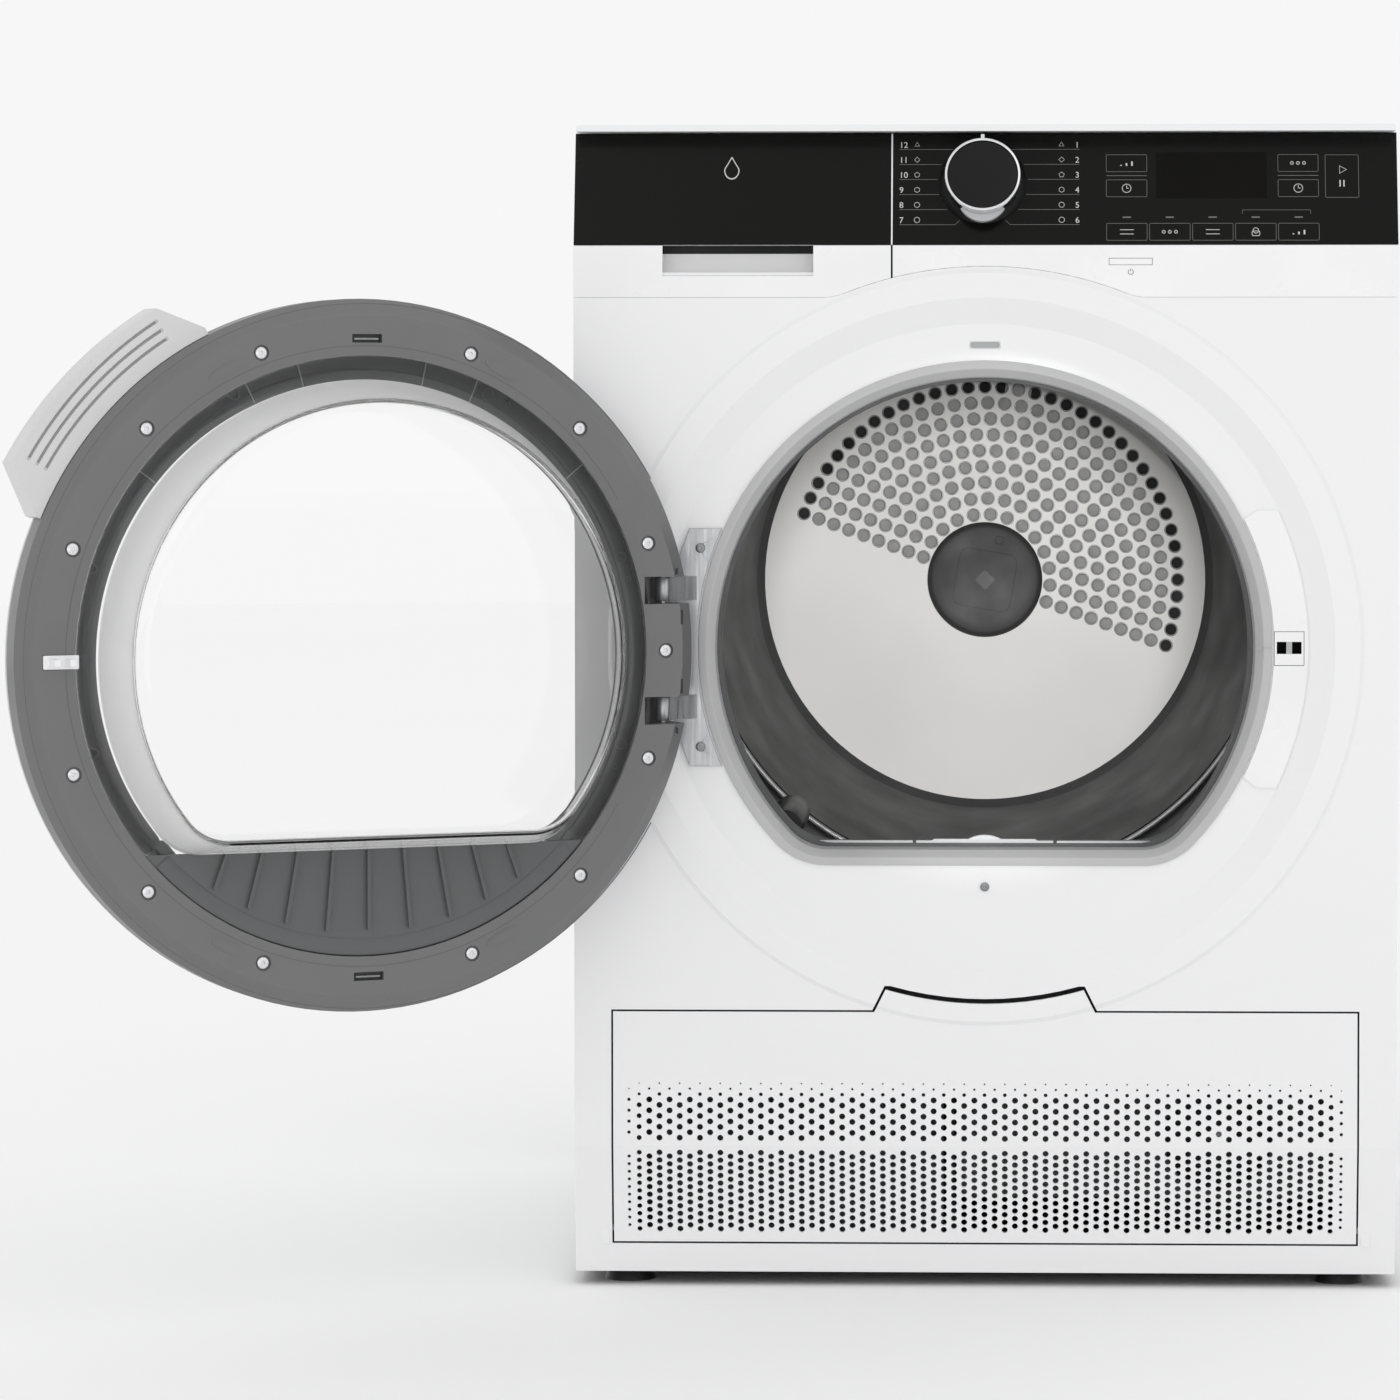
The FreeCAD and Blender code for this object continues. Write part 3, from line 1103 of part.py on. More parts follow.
def fan_wheel(y, width):
    """A drum-type blower wheel: backplate, rim rings and curved-in blades."""
    back = tube("motor_x", y, "motor_z", "fan_rad", "axle_rad", "2")
    boss = tube("motor_x", y, "motor_z", "12", "axle_rad", "16")
    rim = tube("motor_x", f"{y} + {width} - 3", "motor_z", "fan_rad", "fan_rad - 16", "3")
    blades = []
    for i in range(20):
        blade = box("fan_rad - 15", "fan_rad - 1", f"{y} + 1", f"{y} + {width} - 2", "-1", "1")
        blades.append(turned(blade, f"{18 * i}", V(0, 1, 0), "motor_x", "0", "motor_z"))
    return fuse(back, boss, rim, *blades)


def make_motor_fans():
    return keep(group(fan_wheel(f"({FRONT}) + 66", 34), fan_wheel("206", 34)), "motor_fans")


def make_fan_housings():
    """Open-fronted cups round both fans, standing on the base."""
    cups = []
    for y0, y1, wall_y in ((f"({FRONT}) + 62", f"({FRONT}) + 106", f"({FRONT}) + 104"),
                           ("201", "246", "201")):
        outer = cylinder("motor_x", y0, "motor_z", "fan_rad + 10", f"({y1}) - ({y0})")
        foot = box("motor_x - 60", "motor_x + 60", y0, y1, "skirt_z + 7.2", "motor_z")
        inner_y = f"({y0}) - 1" if wall_y != "201" else f"({y0}) + 2"
        inner = cylinder("motor_x", inner_y, "motor_z", "fan_rad + 7.5", f"({y1}) - ({y0}) - 1")
        hub = cylinder("motor_x", f"({y0}) - 2", "motor_z", "14", "60")
        cups.append(cut(fuse(outer, foot), inner, hub))
    return keep(group(*cups), "fan_housings")


def belt_shape():
    """Flat loop round the drum and the motor pulley, standing just off both."""
    drum_r = number(BELT_IN)
    pulley_r = size["pulley_rad"] + 0.4
    start, end = V(0, 0, size["drum_z"]), V(size["motor_x"], 0, size["motor_z"])
    thickness, width = size["belt_thick"], size["belt_wide"]
    loop = loop_solid(start, end, drum_r + thickness, pulley_r + thickness, width)
    inside = loop_solid(start, end, drum_r, pulley_r, width + 2)
    inside.translate(V(0, -1, 0))
    belt = loop.cut(inside)
    belt.translate(V(0, size["belt_y"], 0))
    return belt


def loop_solid(big, small, big_rad, small_rad, width):
    """The block bounded by two circles and their outer tangents, extruded along +Y."""
    gap = small - big
    facing = math.atan2(gap.z, gap.x)
    spread = math.acos((big_rad - small_rad) / gap.Length)

    def spot(centre, radius, turn):
        return centre + V(radius * math.cos(turn), 0, radius * math.sin(turn))

    upper, lower = facing + spread, facing - spread
    a, b = spot(big, big_rad, upper), spot(small, small_rad, upper)
    c, d = spot(small, small_rad, lower), spot(big, big_rad, lower)
    around = Part.Arc(d, spot(big, big_rad, facing + math.pi), a)
    nose = Part.Arc(b, spot(small, small_rad, facing), c)
    wire = Part.Wire([Part.LineSegment(a, b).toShape(), nose.toShape(),
                      Part.LineSegment(c, d).toShape(), around.toShape()])
    return Part.Face(wire).extrude(V(0, width, 0))


def make_drive_belt():
    return keep(fixed_shape(belt_shape), "drive_belt")


def make_idler():
    """Sprung arm and wheel that press on the slack side of the belt."""
    x, z = IDLER
    px, pz = IDLER_PIVOT
    y = "belt_y + belt_wide + 2"
    arm = fuse(cylinder(px, y, pz, "10", "5"), cylinder(x, y, z, "7", "5"),
               turned(box("-6", "6", y, f"{y} + 5", "0", "55"), "250.9", V(0, 1, 0), px, "0", pz))
    stub = cylinder(x, "belt_y - 1", z, "3", "belt_wide + 4")
    bore = cylinder(px, f"{y} - 1", pz, "4 + fit_gap", "8")
    arm_piece = keep(cut(fuse(arm, stub), bore), "idler_arm")
    wheel = tube(x, "belt_y - 0.5", z, "12", "3 + fit_gap", "belt_wide + 1")
    return arm_piece, keep(wheel, "idler_wheel")


def make_rollers():
    for side, label in ((-1, "roller_left"), (1, "roller_right")):
        x, z = roller_spot(side)
        wheel = tube(x, f"({FRONT}) + 51", z, "roller_rad", "roller_pin + fit_gap", "22")
        keep(wheel, label)


def make_feet():
    names = {(-1, -1): "foot_front_left", (1, -1): "foot_front_right",
             (-1, 1): "foot_rear_left", (1, 1): "foot_rear_right"}
    for (sx, sy), label in names.items():
        x, y = f"{sx} * foot_x", f"{sy} * foot_y"
        pad_disc = cone(x, y, "0", "foot_rad", "foot_rad - 3", "8", "z")
        stud = cylinder(x, y, "7", "stud_rad", "26", "z")
        keep(fuse(pad_disc, stud), label)


def make_drain_pump():
    body = fuse(cylinder("10", "214", "24", "16", "30", "z"), cylinder("10", "214", "54", "20", "22", "z"))
    outlet = cylinder("10", "214", "60", "6", "34", "x")
    return keep(fuse(body, outlet), "drain_pump")


def make_terminal_box():
    """Mains terminal box behind the rear sheet's inlet hole, and the drain spigot."""
    y1 = f"({REAR}) - sheet - 0.05"
    case = cut(box("-275", "-200", f"{y1} - 42", y1, "770", "822"),
               box("-272", "-203", f"{y1} - 39", f"{y1} - 3", "773", "819"))
    gland = cylinder("-235", f"{y1} - 2", "800", "11", "12")
    inlet = cylinder("-235", f"{y1} - 8", "800", "cable_rad", "24")
    spigot = fuse(cylinder("215", f"{y1} - 10", "780", "drain_rad", "30"),
                  cylinder("215", f"{y1} - 4", "780", "13", "4"))
    water = cylinder("215", f"{y1} - 11", "780", "drain_rad - 2", "40")
    return keep(group(cut(fuse(case, gland), inlet), cut(spigot, water)), "rear_fittings")


# ---------------------------------------------------------------------------------------------
# Condenser, kick door and lint filter
# ---------------------------------------------------------------------------------------------
LEVER_X = ("-226", "-47")


def make_condenser():
    """Heat exchanger cartridge: two end frames and the plates between them."""
    y0, y1 = f"({FRONT}) + 34", "140"
    ends = [box("-243", "-30", y0, f"{y0} + 14", "22", "176"), box("-239", "-34", "130", y1, "26", "172")]
    plates = [box("-237", "-36", f"{y0} + 10", "134", f"{z}", f"{z} + 1.2") for z in range(32, 168, 8)]
    grip = cut(box("-176", "-96", f"{y0} - 8", f"{y0} + 2", "86", "112"),
               box("-170", "-102", f"{y0} - 5", f"{y0} - 0.2", "85", "113"))
    pivots = [cylinder(x, f"{y0} - 8", "140", "4", "12") for x in LEVER_X]
    return keep(fuse(*ends, *plates, grip, *pivots), "condenser")


def make_condenser_levers():
    for x, label in zip(LEVER_X, ("condenser_lever_left", "condenser_lever_right")):
        y = f"({FRONT}) + 27"
        tail = box(f"{x} - 8", f"{x} + 8", y, f"{y} + 5", "96", "140")
        lever = cut(fuse(tail, cylinder(x, y, "140", "12", "5"), cylinder(x, y, "96", "8", "5")),
                    cylinder(x, f"{y} - 1", "140", "4 + fit_gap", "10"))
        keep(lever, label)


def vent_holes(low, high, rise):
    """Staggered vent holes between two levels as (x, level, radius)."""
    pitch, big = size["vent_pitch"], size["vent_rad"]
    half = size["kick_half"] - 6
    columns = int(half / pitch)
    rows = int((high - low) / rise * 2)
    holes = []
    for column in range(-columns, columns + 1):
        for row in range(rows + 1):
            if (row + column) % 2:
                continue
            x, level = column * pitch, high - row * rise / 2
            from_side = (half - abs(x)) / pitch
            radius = big * min(1, 0.3 + 0.28 * from_side)
            holes.append((x, level, radius, row))
    return holes


def vent_sheet(outline, holes, origin, across, up, thickness):
    """A flat sheet with round holes; outline and holes are in the sheet's own plane."""
    normal = across.cross(up)

    def spot(u, w):
        return origin + across * u + up * w

    corners = [spot(u, w) for u, w in outline]
    wires = [Part.makePolygon(corners + corners[:1])]
    for u, w, radius in holes:
        wires.append(Part.Wire(Part.makeCircle(radius, spot(u, w), normal)))
    face = Part.makeFace(wires, "Part::FaceMakerBullseye")
    return face.extrude(normal * -thickness)


def kick_sheet():
    """Upright and leaning halves of the kick door's perforated skin."""
    front = -size["cab_deep"] / 2
    gap, thickness = size["seam"], 2.0
    low, crease, high = size["kick_low"] + gap, size["crease_z"], size["kick_high"] - gap
    half = size["kick_half"] - gap
    lean = math.atan2(size["skirt_back"], size["crease_z"] - size["skirt_z"])
    across, up = V(1, 0, 0), V(0, 0, 1)
    rise = size["vent_rise"]
    top_rows = [1.0, 0.28, 0.4, 0.62]
    upper = []
    for x, level, radius, row in vent_holes(crease + 6, crease + 46, rise):
        upper.append((x, level - crease, radius * (top_rows[row + 1] if row < 3 else 1)))
    upper_outline = [(-half, 0), (half, 0), (half, high - crease), (-half, high - crease)]
    sheets = vent_sheet(upper_outline, upper, V(0, front, crease), across, up, thickness)
    slope = V(0, -math.sin(lean), math.cos(lean))
    length = (crease - low) / math.cos(lean)
    lower = [(x, level, radius) for x, level, radius, row in vent_holes(9 - length, -5, rise * 0.72)]
    lower_outline = [(-half, -length), (half, -length), (half, 0), (-half, 0)]
    leaning = vent_sheet(lower_outline, lower, V(0, front, crease), across, slope, thickness)
    return sheets.fuse(leaning)


def make_kick_door():
    """Perforated flap over the condenser, hinged at its lower edge."""
    skin = fixed_shape(kick_sheet)
    tab = common(cut(fuse(prism_x(front_profile("0", "kick_low", "kick_high + 30"), "-100", "100"),
                          box("-100", "100", f"({FRONT}) + sheet", f"({FRONT}) + 2",
                              "kick_high - 40", "kick_high + 30")),
                     cylinder("0", f"({FRONT}) - 6", "load_z", "collar_rad", "60")),
                 prism_y(kick_outline("seam"), f"({FRONT}) - 5", f"({FRONT}) + 40"),
                 box("-100", "100", f"({FRONT}) - 5", f"({FRONT}) + 40", "kick_high - seam - 6", "300"))
    collar = revolve([(f"({FRONT}) + 2", "tab_rad"), (f"({FRONT}) - collar_rise", "tab_rad"),
                      (f"({FRONT}) - collar_rise", "collar_rad - 3"), (FRONT, "collar_rad"),
                      (f"({FRONT}) + 2", "collar_rad")], "load_z")
    crown = common(collar, prism_y(kick_outline("seam"), f"({FRONT}) - 5", f"({FRONT}) + 40"))
    returns = [box(x0, x1, f"({FRONT}) + 1.9", f"({FRONT}) + 12", "crease_z", "kick_high - seam")
               for x0, x1 in (("-kick_half + seam", "-kick_half + seam + 2"),
                              ("kick_half - seam - 2", "kick_half - seam"))]
    ears = [box(f"{x} - 4", f"{x} + 4", f"({FRONT}) + 9", f"({KICK_Y}) + 4",
                f"({KICK_Z}) - 4", f"({KICK_Z}) + 5")
            for x in (-265, 265)]
    pins = [cylinder(x, KICK_Y, KICK_Z, "pin_rad", "16", "x") for x in ("-281", "265")]
    return keep(fuse(skin, tab, crown, *returns, *ears, *pins), "kick_door")


def make_lint_filter():
    """Pull-out filter in the pocket under the opening, and its folding second leaf."""
    y0 = f"({FRONT}) + mouth_deep + 7"
    frame = cut(box("-51", "51", y0, f"{y0} + 11", "200", "load_z - 147.5"),
                box("-46", "46", f"{y0} - 1", f"{y0} + 12", "206", "load_z - 164"))
    mesh = box("-47", "47", f"{y0} + 9", f"{y0} + 10", "205", "load_z - 163")
    top = box("-36", "36", f"{y0} + 0.9", f"{y0} + 12", "load_z - 150", "load_z - 147.5")
    grip = common(cylinder("0", f"{y0} + 1", "load_z - 166", "26", "5"),
                  box("-20", "20", y0, f"{y0} + 8", "load_z - 149", "load_z - 130"))
    keep(fuse(frame, mesh, top, grip), "filter_frame")
    leaf = fuse(cut(box("-45", "45", f"{y0} + 0.5", f"{y0} + 3.5", "211", "load_z - 165"),
                    box("-40", "40", f"{y0} - 1", f"{y0} + 5", "216", "load_z - 170")),
                box("-41", "41", f"{y0} + 1.5", f"{y0} + 2.3", "215", "load_z - 169"),
                cylinder("-45.9", f"{y0} + 2", "211", "1.6", "91.8", "x"))
    keep(leaf, "filter_leaf")


# ---------------------------------------------------------------------------------------------
# Build, check and export
# ---------------------------------------------------------------------------------------------
def build():
    make_front_panel()
    make_side_panel(-1, "side_panel_left")
    make_side_panel(1, "side_panel_right")
    make_rear_panel()
    make_worktop()
    make_base_tray()
    make_front_bulkhead()
    make_door_seal()
    make_hinge_plate()
    make_latch_cover()
    make_door_latch()
    make_cabinet_screws()
    make_control_fascia()
    make_fascia_glass()
    make_control_board()
    make_knob()
    make_power_button()
    make_tank()
    make_tank_sleeve()
    make_door_frame()
    make_door_bezel()
    make_door_glass()
    make_door_bowl()
    make_door_sill()
    make_door_handle()
    make_door_striker()
    make_door_screws()
    make_hinge_pins()
    make_drum_shell()
    make_drum_back()
    make_drum_lifters()
    make_drum_hub()
    make_drum_shaft()
    make_rear_bearing()
    make_rear_duct()
    make_heater()
    make_drive_motor()
    make_motor_pulley()
    make_motor_fans()
    make_fan_housings()
    make_drive_belt()
    make_idler()
    make_rollers()
    make_feet()
    make_drain_pump()
    make_terminal_box()
    make_condenser()
    make_condenser_levers()
    make_kick_door()
    make_lint_filter()


def check():
    """Stop on any failed feature or unsound sub-part."""
    for obj in doc.Objects:
        if "Invalid" in obj.State or "Error" in obj.State:
            raise RuntimeError(f"{obj.Name} ({obj.Label}) is {obj.State}")
    for obj in subparts:
        shape = obj.Shape
        if shape.isNull() or not shape.isValid() or not shape.Solids:
            raise RuntimeError(f"{obj.Label} has no sound shape")


def export():
    os.makedirs("parts", exist_ok=True)
    for obj in subparts:
        obj.Shape.exportStep(f"parts/{obj.Label}.step")


build()
doc.recompute()
check()
export()
print(len(subparts), "sub-parts")
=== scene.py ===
import json
import math

import bpy
from mathutils import Matrix, Vector


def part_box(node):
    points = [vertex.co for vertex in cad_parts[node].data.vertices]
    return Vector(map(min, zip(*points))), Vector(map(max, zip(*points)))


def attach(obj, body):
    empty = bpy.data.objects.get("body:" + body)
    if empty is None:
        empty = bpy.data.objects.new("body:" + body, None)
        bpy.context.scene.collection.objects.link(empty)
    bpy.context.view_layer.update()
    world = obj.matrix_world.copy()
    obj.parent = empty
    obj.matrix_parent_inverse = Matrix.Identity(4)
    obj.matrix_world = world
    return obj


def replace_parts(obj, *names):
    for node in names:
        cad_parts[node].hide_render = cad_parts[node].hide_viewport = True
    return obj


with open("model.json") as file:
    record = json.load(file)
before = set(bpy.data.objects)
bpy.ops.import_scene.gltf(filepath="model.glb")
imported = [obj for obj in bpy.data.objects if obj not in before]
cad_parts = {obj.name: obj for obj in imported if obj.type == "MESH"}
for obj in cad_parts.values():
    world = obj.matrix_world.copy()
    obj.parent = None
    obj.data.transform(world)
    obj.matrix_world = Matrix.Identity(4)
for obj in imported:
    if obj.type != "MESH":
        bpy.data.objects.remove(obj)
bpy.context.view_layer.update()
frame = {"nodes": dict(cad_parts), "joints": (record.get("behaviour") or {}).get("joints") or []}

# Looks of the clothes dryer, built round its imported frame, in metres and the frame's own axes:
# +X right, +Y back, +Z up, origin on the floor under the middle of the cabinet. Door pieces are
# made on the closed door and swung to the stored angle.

MM = 0.001
NODES = frame["nodes"]
JOINTS = {joint["name"]: joint for joint in frame["joints"]}

# ---- Places that come from the frame ----
COLLAR_RISE = 2 * MM
FRONT_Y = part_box("front_panel")[0].y + COLLAR_RISE
FLOOR_Y = FRONT_Y + 5 * MM
HINGE = Vector(JOINTS["door_hinge"]["pos_m"])
OPEN = math.radians(JOINTS["door_hinge"]["range_deg"][1])
LOAD_Z = HINGE.z
DRUM_Z = JOINTS["drum_spin"]["pos_m"][2]
DRUM_BACK_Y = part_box("drum_back")[0].y
FACE_Y = FRONT_Y + 0.5 * MM
PANE_Y = HINGE.y - 17.9 * MM
SWING = (Matrix.Translation(HINGE) @ Matrix.Rotation(-OPEN, 4, "Z")
         @ Matrix.Translation(-HINGE))

# The fascia glass leans back; these give any point on it
GLASS_LOW, GLASS_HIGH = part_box("tank_glass")
GLASS_THICK = 3 * MM
LEAN = math.atan2(GLASS_HIGH.y - GLASS_THICK - GLASS_LOW.y, GLASS_HIGH.z - GLASS_LOW.z)


# ---- Mesh helpers ----
def show(thing):
    bpy.context.scene.collection.objects.link(thing)


def add_piece(name, verts, faces, body, material, place=None, sharp=35.0):
    """A mesh piece that rides on a body, smooth except at edges sharper than an angle."""
    mesh = bpy.data.meshes.new(name)
    mesh.from_pydata([tuple(v) for v in verts], [], faces)
    if place is not None:
        mesh.transform(place)
    mesh.validate()
    mesh.polygons.foreach_set("use_smooth", [True] * len(mesh.polygons))
    mesh.set_sharp_from_angle(angle=math.radians(sharp))
    mesh.materials.append(material)
    piece = bpy.data.objects.new(name, mesh)
    show(piece)
    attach(piece, body)
    return piece


class Shape:
    """Vertices and faces that grow as shapes are added."""

    def __init__(self):
        self.verts, self.faces = [], []

    def add(self, verts, faces, place=None):
        start = len(self.verts)
        self.verts += [place @ Vector(v) if place is not None else Vector(v) for v in verts]
        self.faces += [[start + i for i in face] for face in faces]
        return self

    def piece(self, name, body, slot, material, place=None, sharp=35.0):
        return add_piece(name, self.verts, self.faces, body, material, place, sharp)


def rounded(points, radius, steps=4):
    """A closed outline of 2D points with every corner softened."""
    out = []
    for i, corner in enumerate(points):
        corner = Vector(corner)
        before = Vector(points[i - 1]) - corner
        after = Vector(points[(i + 1) % len(points)]) - corner
        half = before.angle(after) / 2
        back = min(radius / math.tan(half), 0.45 * before.length, 0.45 * after.length)
        start, end = corner + before.normalized() * back, corner + after.normalized() * back
        for k in range(steps + 1):
            t = k / steps
            out.append(start * (1 - t) ** 2 + corner * (2 * t * (1 - t)) + end * t ** 2)
    return out


def spun(line, x, z, segments, wave):
    """Points of a line of (radius, y) at each step round a Y-parallel axis."""
    verts = []
    for s in range(segments):
        angle = math.tau * s / segments
        for radius, y in line:
            r = radius + (wave(angle, radius, y) if wave else 0.0)
            verts.append((x + r * math.cos(angle), y, z + r * math.sin(angle)))
    return verts


def turned(profile, x=0.0, z=0.0, segments=96, wave=None):
    """A closed outline of (radius, y) turned about a Y-parallel axis; wave bends the radius."""
    verts, faces = spun(profile, x, z, segments, wave), []
    count = len(profile)
    for s in range(segments):
        a, b = s * count, (s + 1) % segments * count
        for i in range(count):
            j = (i + 1) % count
            faces.append((a + i, b + i, b + j, a + j))
    return verts, faces


def cap_turned(profile, x=0.0, z=0.0, segments=64, wave=None):
    """A line of (radius, y) that starts and ends on the axis, turned into a closed solid."""
    count = len(profile) - 2
    verts, faces = spun(profile[1:-1], x, z, segments, wave), []
    first, last = len(verts), len(verts) + 1
    verts += [(x, profile[0][1], z), (x, profile[-1][1], z)]
    for s in range(segments):
        a, b = s * count, (s + 1) % segments * count
        faces.append((first, b, a))
        faces.append((last, a + count - 1, b + count - 1))
        for i in range(count - 1):
            faces.append((a + i, b + i, b + i + 1, a + i + 1))
    return verts, faces


ARC_STEPS, CORNER_STEPS, BASE_STEPS = 120, 14, 30


def dee(radius, drop, corner):
    """Points (x, z) round a circle with a flat bottom and rounded corners."""
    reach = math.sqrt((radius - corner) ** 2 - (drop - corner) ** 2)
    tilt = math.atan2(corner - drop, reach)
    points = []
    for i in range(ARC_STEPS):
        turn = tilt + (math.pi - 2 * tilt) * i / ARC_STEPS
        points.append((radius * math.cos(turn), radius * math.sin(turn)))
    for i in range(CORNER_STEPS):
        turn = math.pi - tilt + (math.pi / 2 + tilt) * i / CORNER_STEPS
        points.append((corner * math.cos(turn) - reach, corner - drop + corner * math.sin(turn)))
    for i in range(BASE_STEPS):
        points.append((reach * (2 * i / BASE_STEPS - 1), -drop))
    for i in range(CORNER_STEPS):
        turn = -math.pi / 2 + (math.pi / 2 + tilt) * i / CORNER_STEPS
        points.append((reach + corner * math.cos(turn), corner - drop + corner * math.sin(turn)))
    return points


def loft(rings, closed=False):
    """Quads between rings of 3D points; closed joins the last ring to the first."""
    count = len(rings[0])
    verts = [v for ring in rings for v in ring]
    faces = []
    spans = len(rings) if closed else len(rings) - 1
    for r in range(spans):
        a, b = r * count, (r + 1) % len(rings) * count
        for i in range(count):
            j = (i + 1) % count
            faces.append((a + i, a + j, b + j, b + i))
    return verts, faces


def ring_at(points, y, z=0.0):
    return [(px, y, pz + z) for px, pz in points]


def slab(outline, y0, y1):
    """A flat plate: an outline of (x, z) points between two depths."""
    count = len(outline)
    verts = [(x, y0, z) for x, z in outline] + [(x, y1, z) for x, z in outline]
    faces = [tuple(range(count)), tuple(range(2 * count - 1, count - 1, -1))]
    faces += [(i, i + count, (i + 1) % count + count, (i + 1) % count) for i in range(count)]
    return verts, faces


def rectangle(x0, x1, z0, z1):
    return [(x0, z0), (x1, z0), (x1, z1), (x0, z1)]


def mm_box(x0, x1, z0, z1, shift=0.0):
    """A rectangle in millimetres, its second coordinate shifted by a distance in metres."""
    return rectangle(x0 * MM, x1 * MM, shift + z0 * MM, shift + z1 * MM)


def arc(radius, start, sweep, steps, x=0.0, z=0.0):
    """Points along an arc given in degrees, both ends included."""
    turns = [math.radians(start + sweep * k / steps) for k in range(steps + 1)]
    return [(x + radius * math.cos(t), z + radius * math.sin(t)) for t in turns]


def circle(radius, count, x=0.0, z=0.0, start=0.0):
    return arc(radius, start, 360, count, x, z)[:-1]


def plate(outline, y0, y1, *piece):
    """A piece made of one slab."""
    return Shape().add(*slab(outline, y0, y1)).piece(*piece)


def clocked(z, degrees):
    """Turns about the Y-parallel axis at a height."""
    return Matrix.Translation((0, 0, z)) @ Matrix.Rotation(math.radians(degrees), 4, "Y")


def frame_strip(outer, inner, y0, y1):
    """A closed flat band between two outlines with the same number of points."""
    rings = [[(x, y, z) for x, z in line] for line, y in
             ((outer, y0), (inner, y0), (inner, y1), (outer, y1))]
    return loft(rings, closed=True)


def soften(node, width, segments=2, angle=30.0):
    """Rounds the edges of a CAD node with modifiers, so that its own mesh stays as it is."""
    weld = NODES[node].modifiers.new("weld", "WELD")
    weld.merge_threshold = 0.01 * MM
    bevel = NODES[node].modifiers.new("bevel", "BEVEL")
    bevel.width = width
    bevel.segments = segments
    bevel.limit_method = "ANGLE"
    bevel.angle_limit = math.radians(angle)
    bevel.use_clamp_overlap = True
    bevel.harden_normals = True


# ---- Materials ----
def tone(red, green=None, blue=None):
    """A display colour from 0 to 255 as linear light."""
    green, blue = (red if c is None else c for c in (green, blue))
    linear = [c / 12.92 if c <= 0.04045 else ((c + 0.055) / 1.055) ** 2.4
              for c in (red / 255, green / 255, blue / 255)]
    return (*linear, 1.0)


class Finish:
    """Builds one procedural material, layer by layer."""

    def __init__(self, name, colour, roughness, metallic=0.0, **sockets):
        self.material = bpy.data.materials.new(name)
        self.material.use_nodes = True
        self.tree = self.material.node_tree
        self.shader = self.tree.nodes["Principled BSDF"]
        self.colour = colour
        self.roughness = roughness
        self.shader.inputs["Base Color"].default_value = colour
        self.shader.inputs["Roughness"].default_value = roughness
        self.shader.inputs["Metallic"].default_value = metallic
        for socket, value in sockets.items():
            self.shader.inputs[socket.replace("_", " ")].default_value = value
        self.place = self.tree.nodes.new("ShaderNodeTexCoord").outputs["Object"]
        self.height = None

    def link(self, start, end):
        self.tree.links.new(start, end)

    def noise(self, size, detail=2.0, stretch=(1, 1, 1)):
        """Noise whose grains are about size metres across, squeezed along each axis."""
        mapping = self.tree.nodes.new("ShaderNodeMapping")
        mapping.inputs["Scale"].default_value = stretch
        self.link(self.place, mapping.inputs["Vector"])
        noise = self.tree.nodes.new("ShaderNodeTexNoise")
        noise.inputs["Scale"].default_value = 1 / size
        noise.inputs["Detail"].default_value = detail
        self.link(mapping.outputs["Vector"], noise.inputs["Vector"])
        return noise.outputs["Fac"]

    def spread(self, source, low, high):
        """Maps a noise's middle range onto two numbers."""
        node = self.tree.nodes.new("ShaderNodeMapRange")
        node.inputs["From Min"].default_value = 0.3
        node.inputs["From Max"].default_value = 0.7
        node.inputs["To Min"].default_value = low
        node.inputs["To Max"].default_value = high
        self.link(source, node.inputs["Value"])
        return node.outputs["Result"]

    def mottle(self, size, amount, stretch=(1, 1, 1), detail=3.0):
        """Lets the colour drift a little lighter and darker."""
        mix = self.tree.nodes.new("ShaderNodeMix")
        mix.data_type = "RGBA"
        darker = [c * (1 - amount) for c in self.colour[:3]] + [1.0]
        lighter = [min(1.0, c * (1 + amount)) for c in self.colour[:3]] + [1.0]
        mix.inputs["A"].default_value = darker
        mix.inputs["B"].default_value = lighter
        factor = self.spread(self.noise(size, detail, stretch), 0.0, 1.0)
        self.link(factor, mix.inputs["Factor"])
        self.link(mix.outputs["Result"], self.shader.inputs["Base Color"])
        return self

    def uneven(self, size, amount, stretch=(1, 1, 1)):
        """Lets the gloss vary."""
        source = self.noise(size, 3.0, stretch)
        rough = self.spread(source, self.roughness * (1 - amount), self.roughness * (1 + amount))
        self.link(rough, self.shader.inputs["Roughness"])
        return self

    def relief(self, source, depth):
        """Adds a bump of a depth in metres on top of those already there."""
        bump = self.tree.nodes.new("ShaderNodeBump")
        bump.inputs["Strength"].default_value = 1.0
        bump.inputs["Distance"].default_value = depth
        self.link(source, bump.inputs["Height"])
        if self.height is not None:
            self.link(self.height, bump.inputs["Normal"])
        self.height = bump.outputs["Normal"]
        self.link(self.height, self.shader.inputs["Normal"])
        return self

    def grain(self, size, depth, stretch=(1, 1, 1), detail=2.0):
        return self.relief(self.noise(size, detail, stretch), depth)


def enamel(name, colour):
    """Sprayed and baked paint: gloss with a faint orange peel."""
    look = Finish(name, colour, 0.3, Coat_Weight=0.25, Coat_Roughness=0.12)
    look.mottle(0.6, 0.003).uneven(0.3, 0.05).grain(2.2 * MM, 0.012 * MM)
    return look.material


def moulding(name, colour, roughness=0.38, texture=0.02, **sockets):
    """Moulded plastic: fine spark texture and slightly uneven gloss."""
    look = Finish(name, colour, roughness, **sockets)
    look.mottle(0.08, 0.025).uneven(0.05, 0.15).grain(0.7 * MM, texture * MM)
    look.grain(14 * MM, 0.02 * MM)
    return look.material


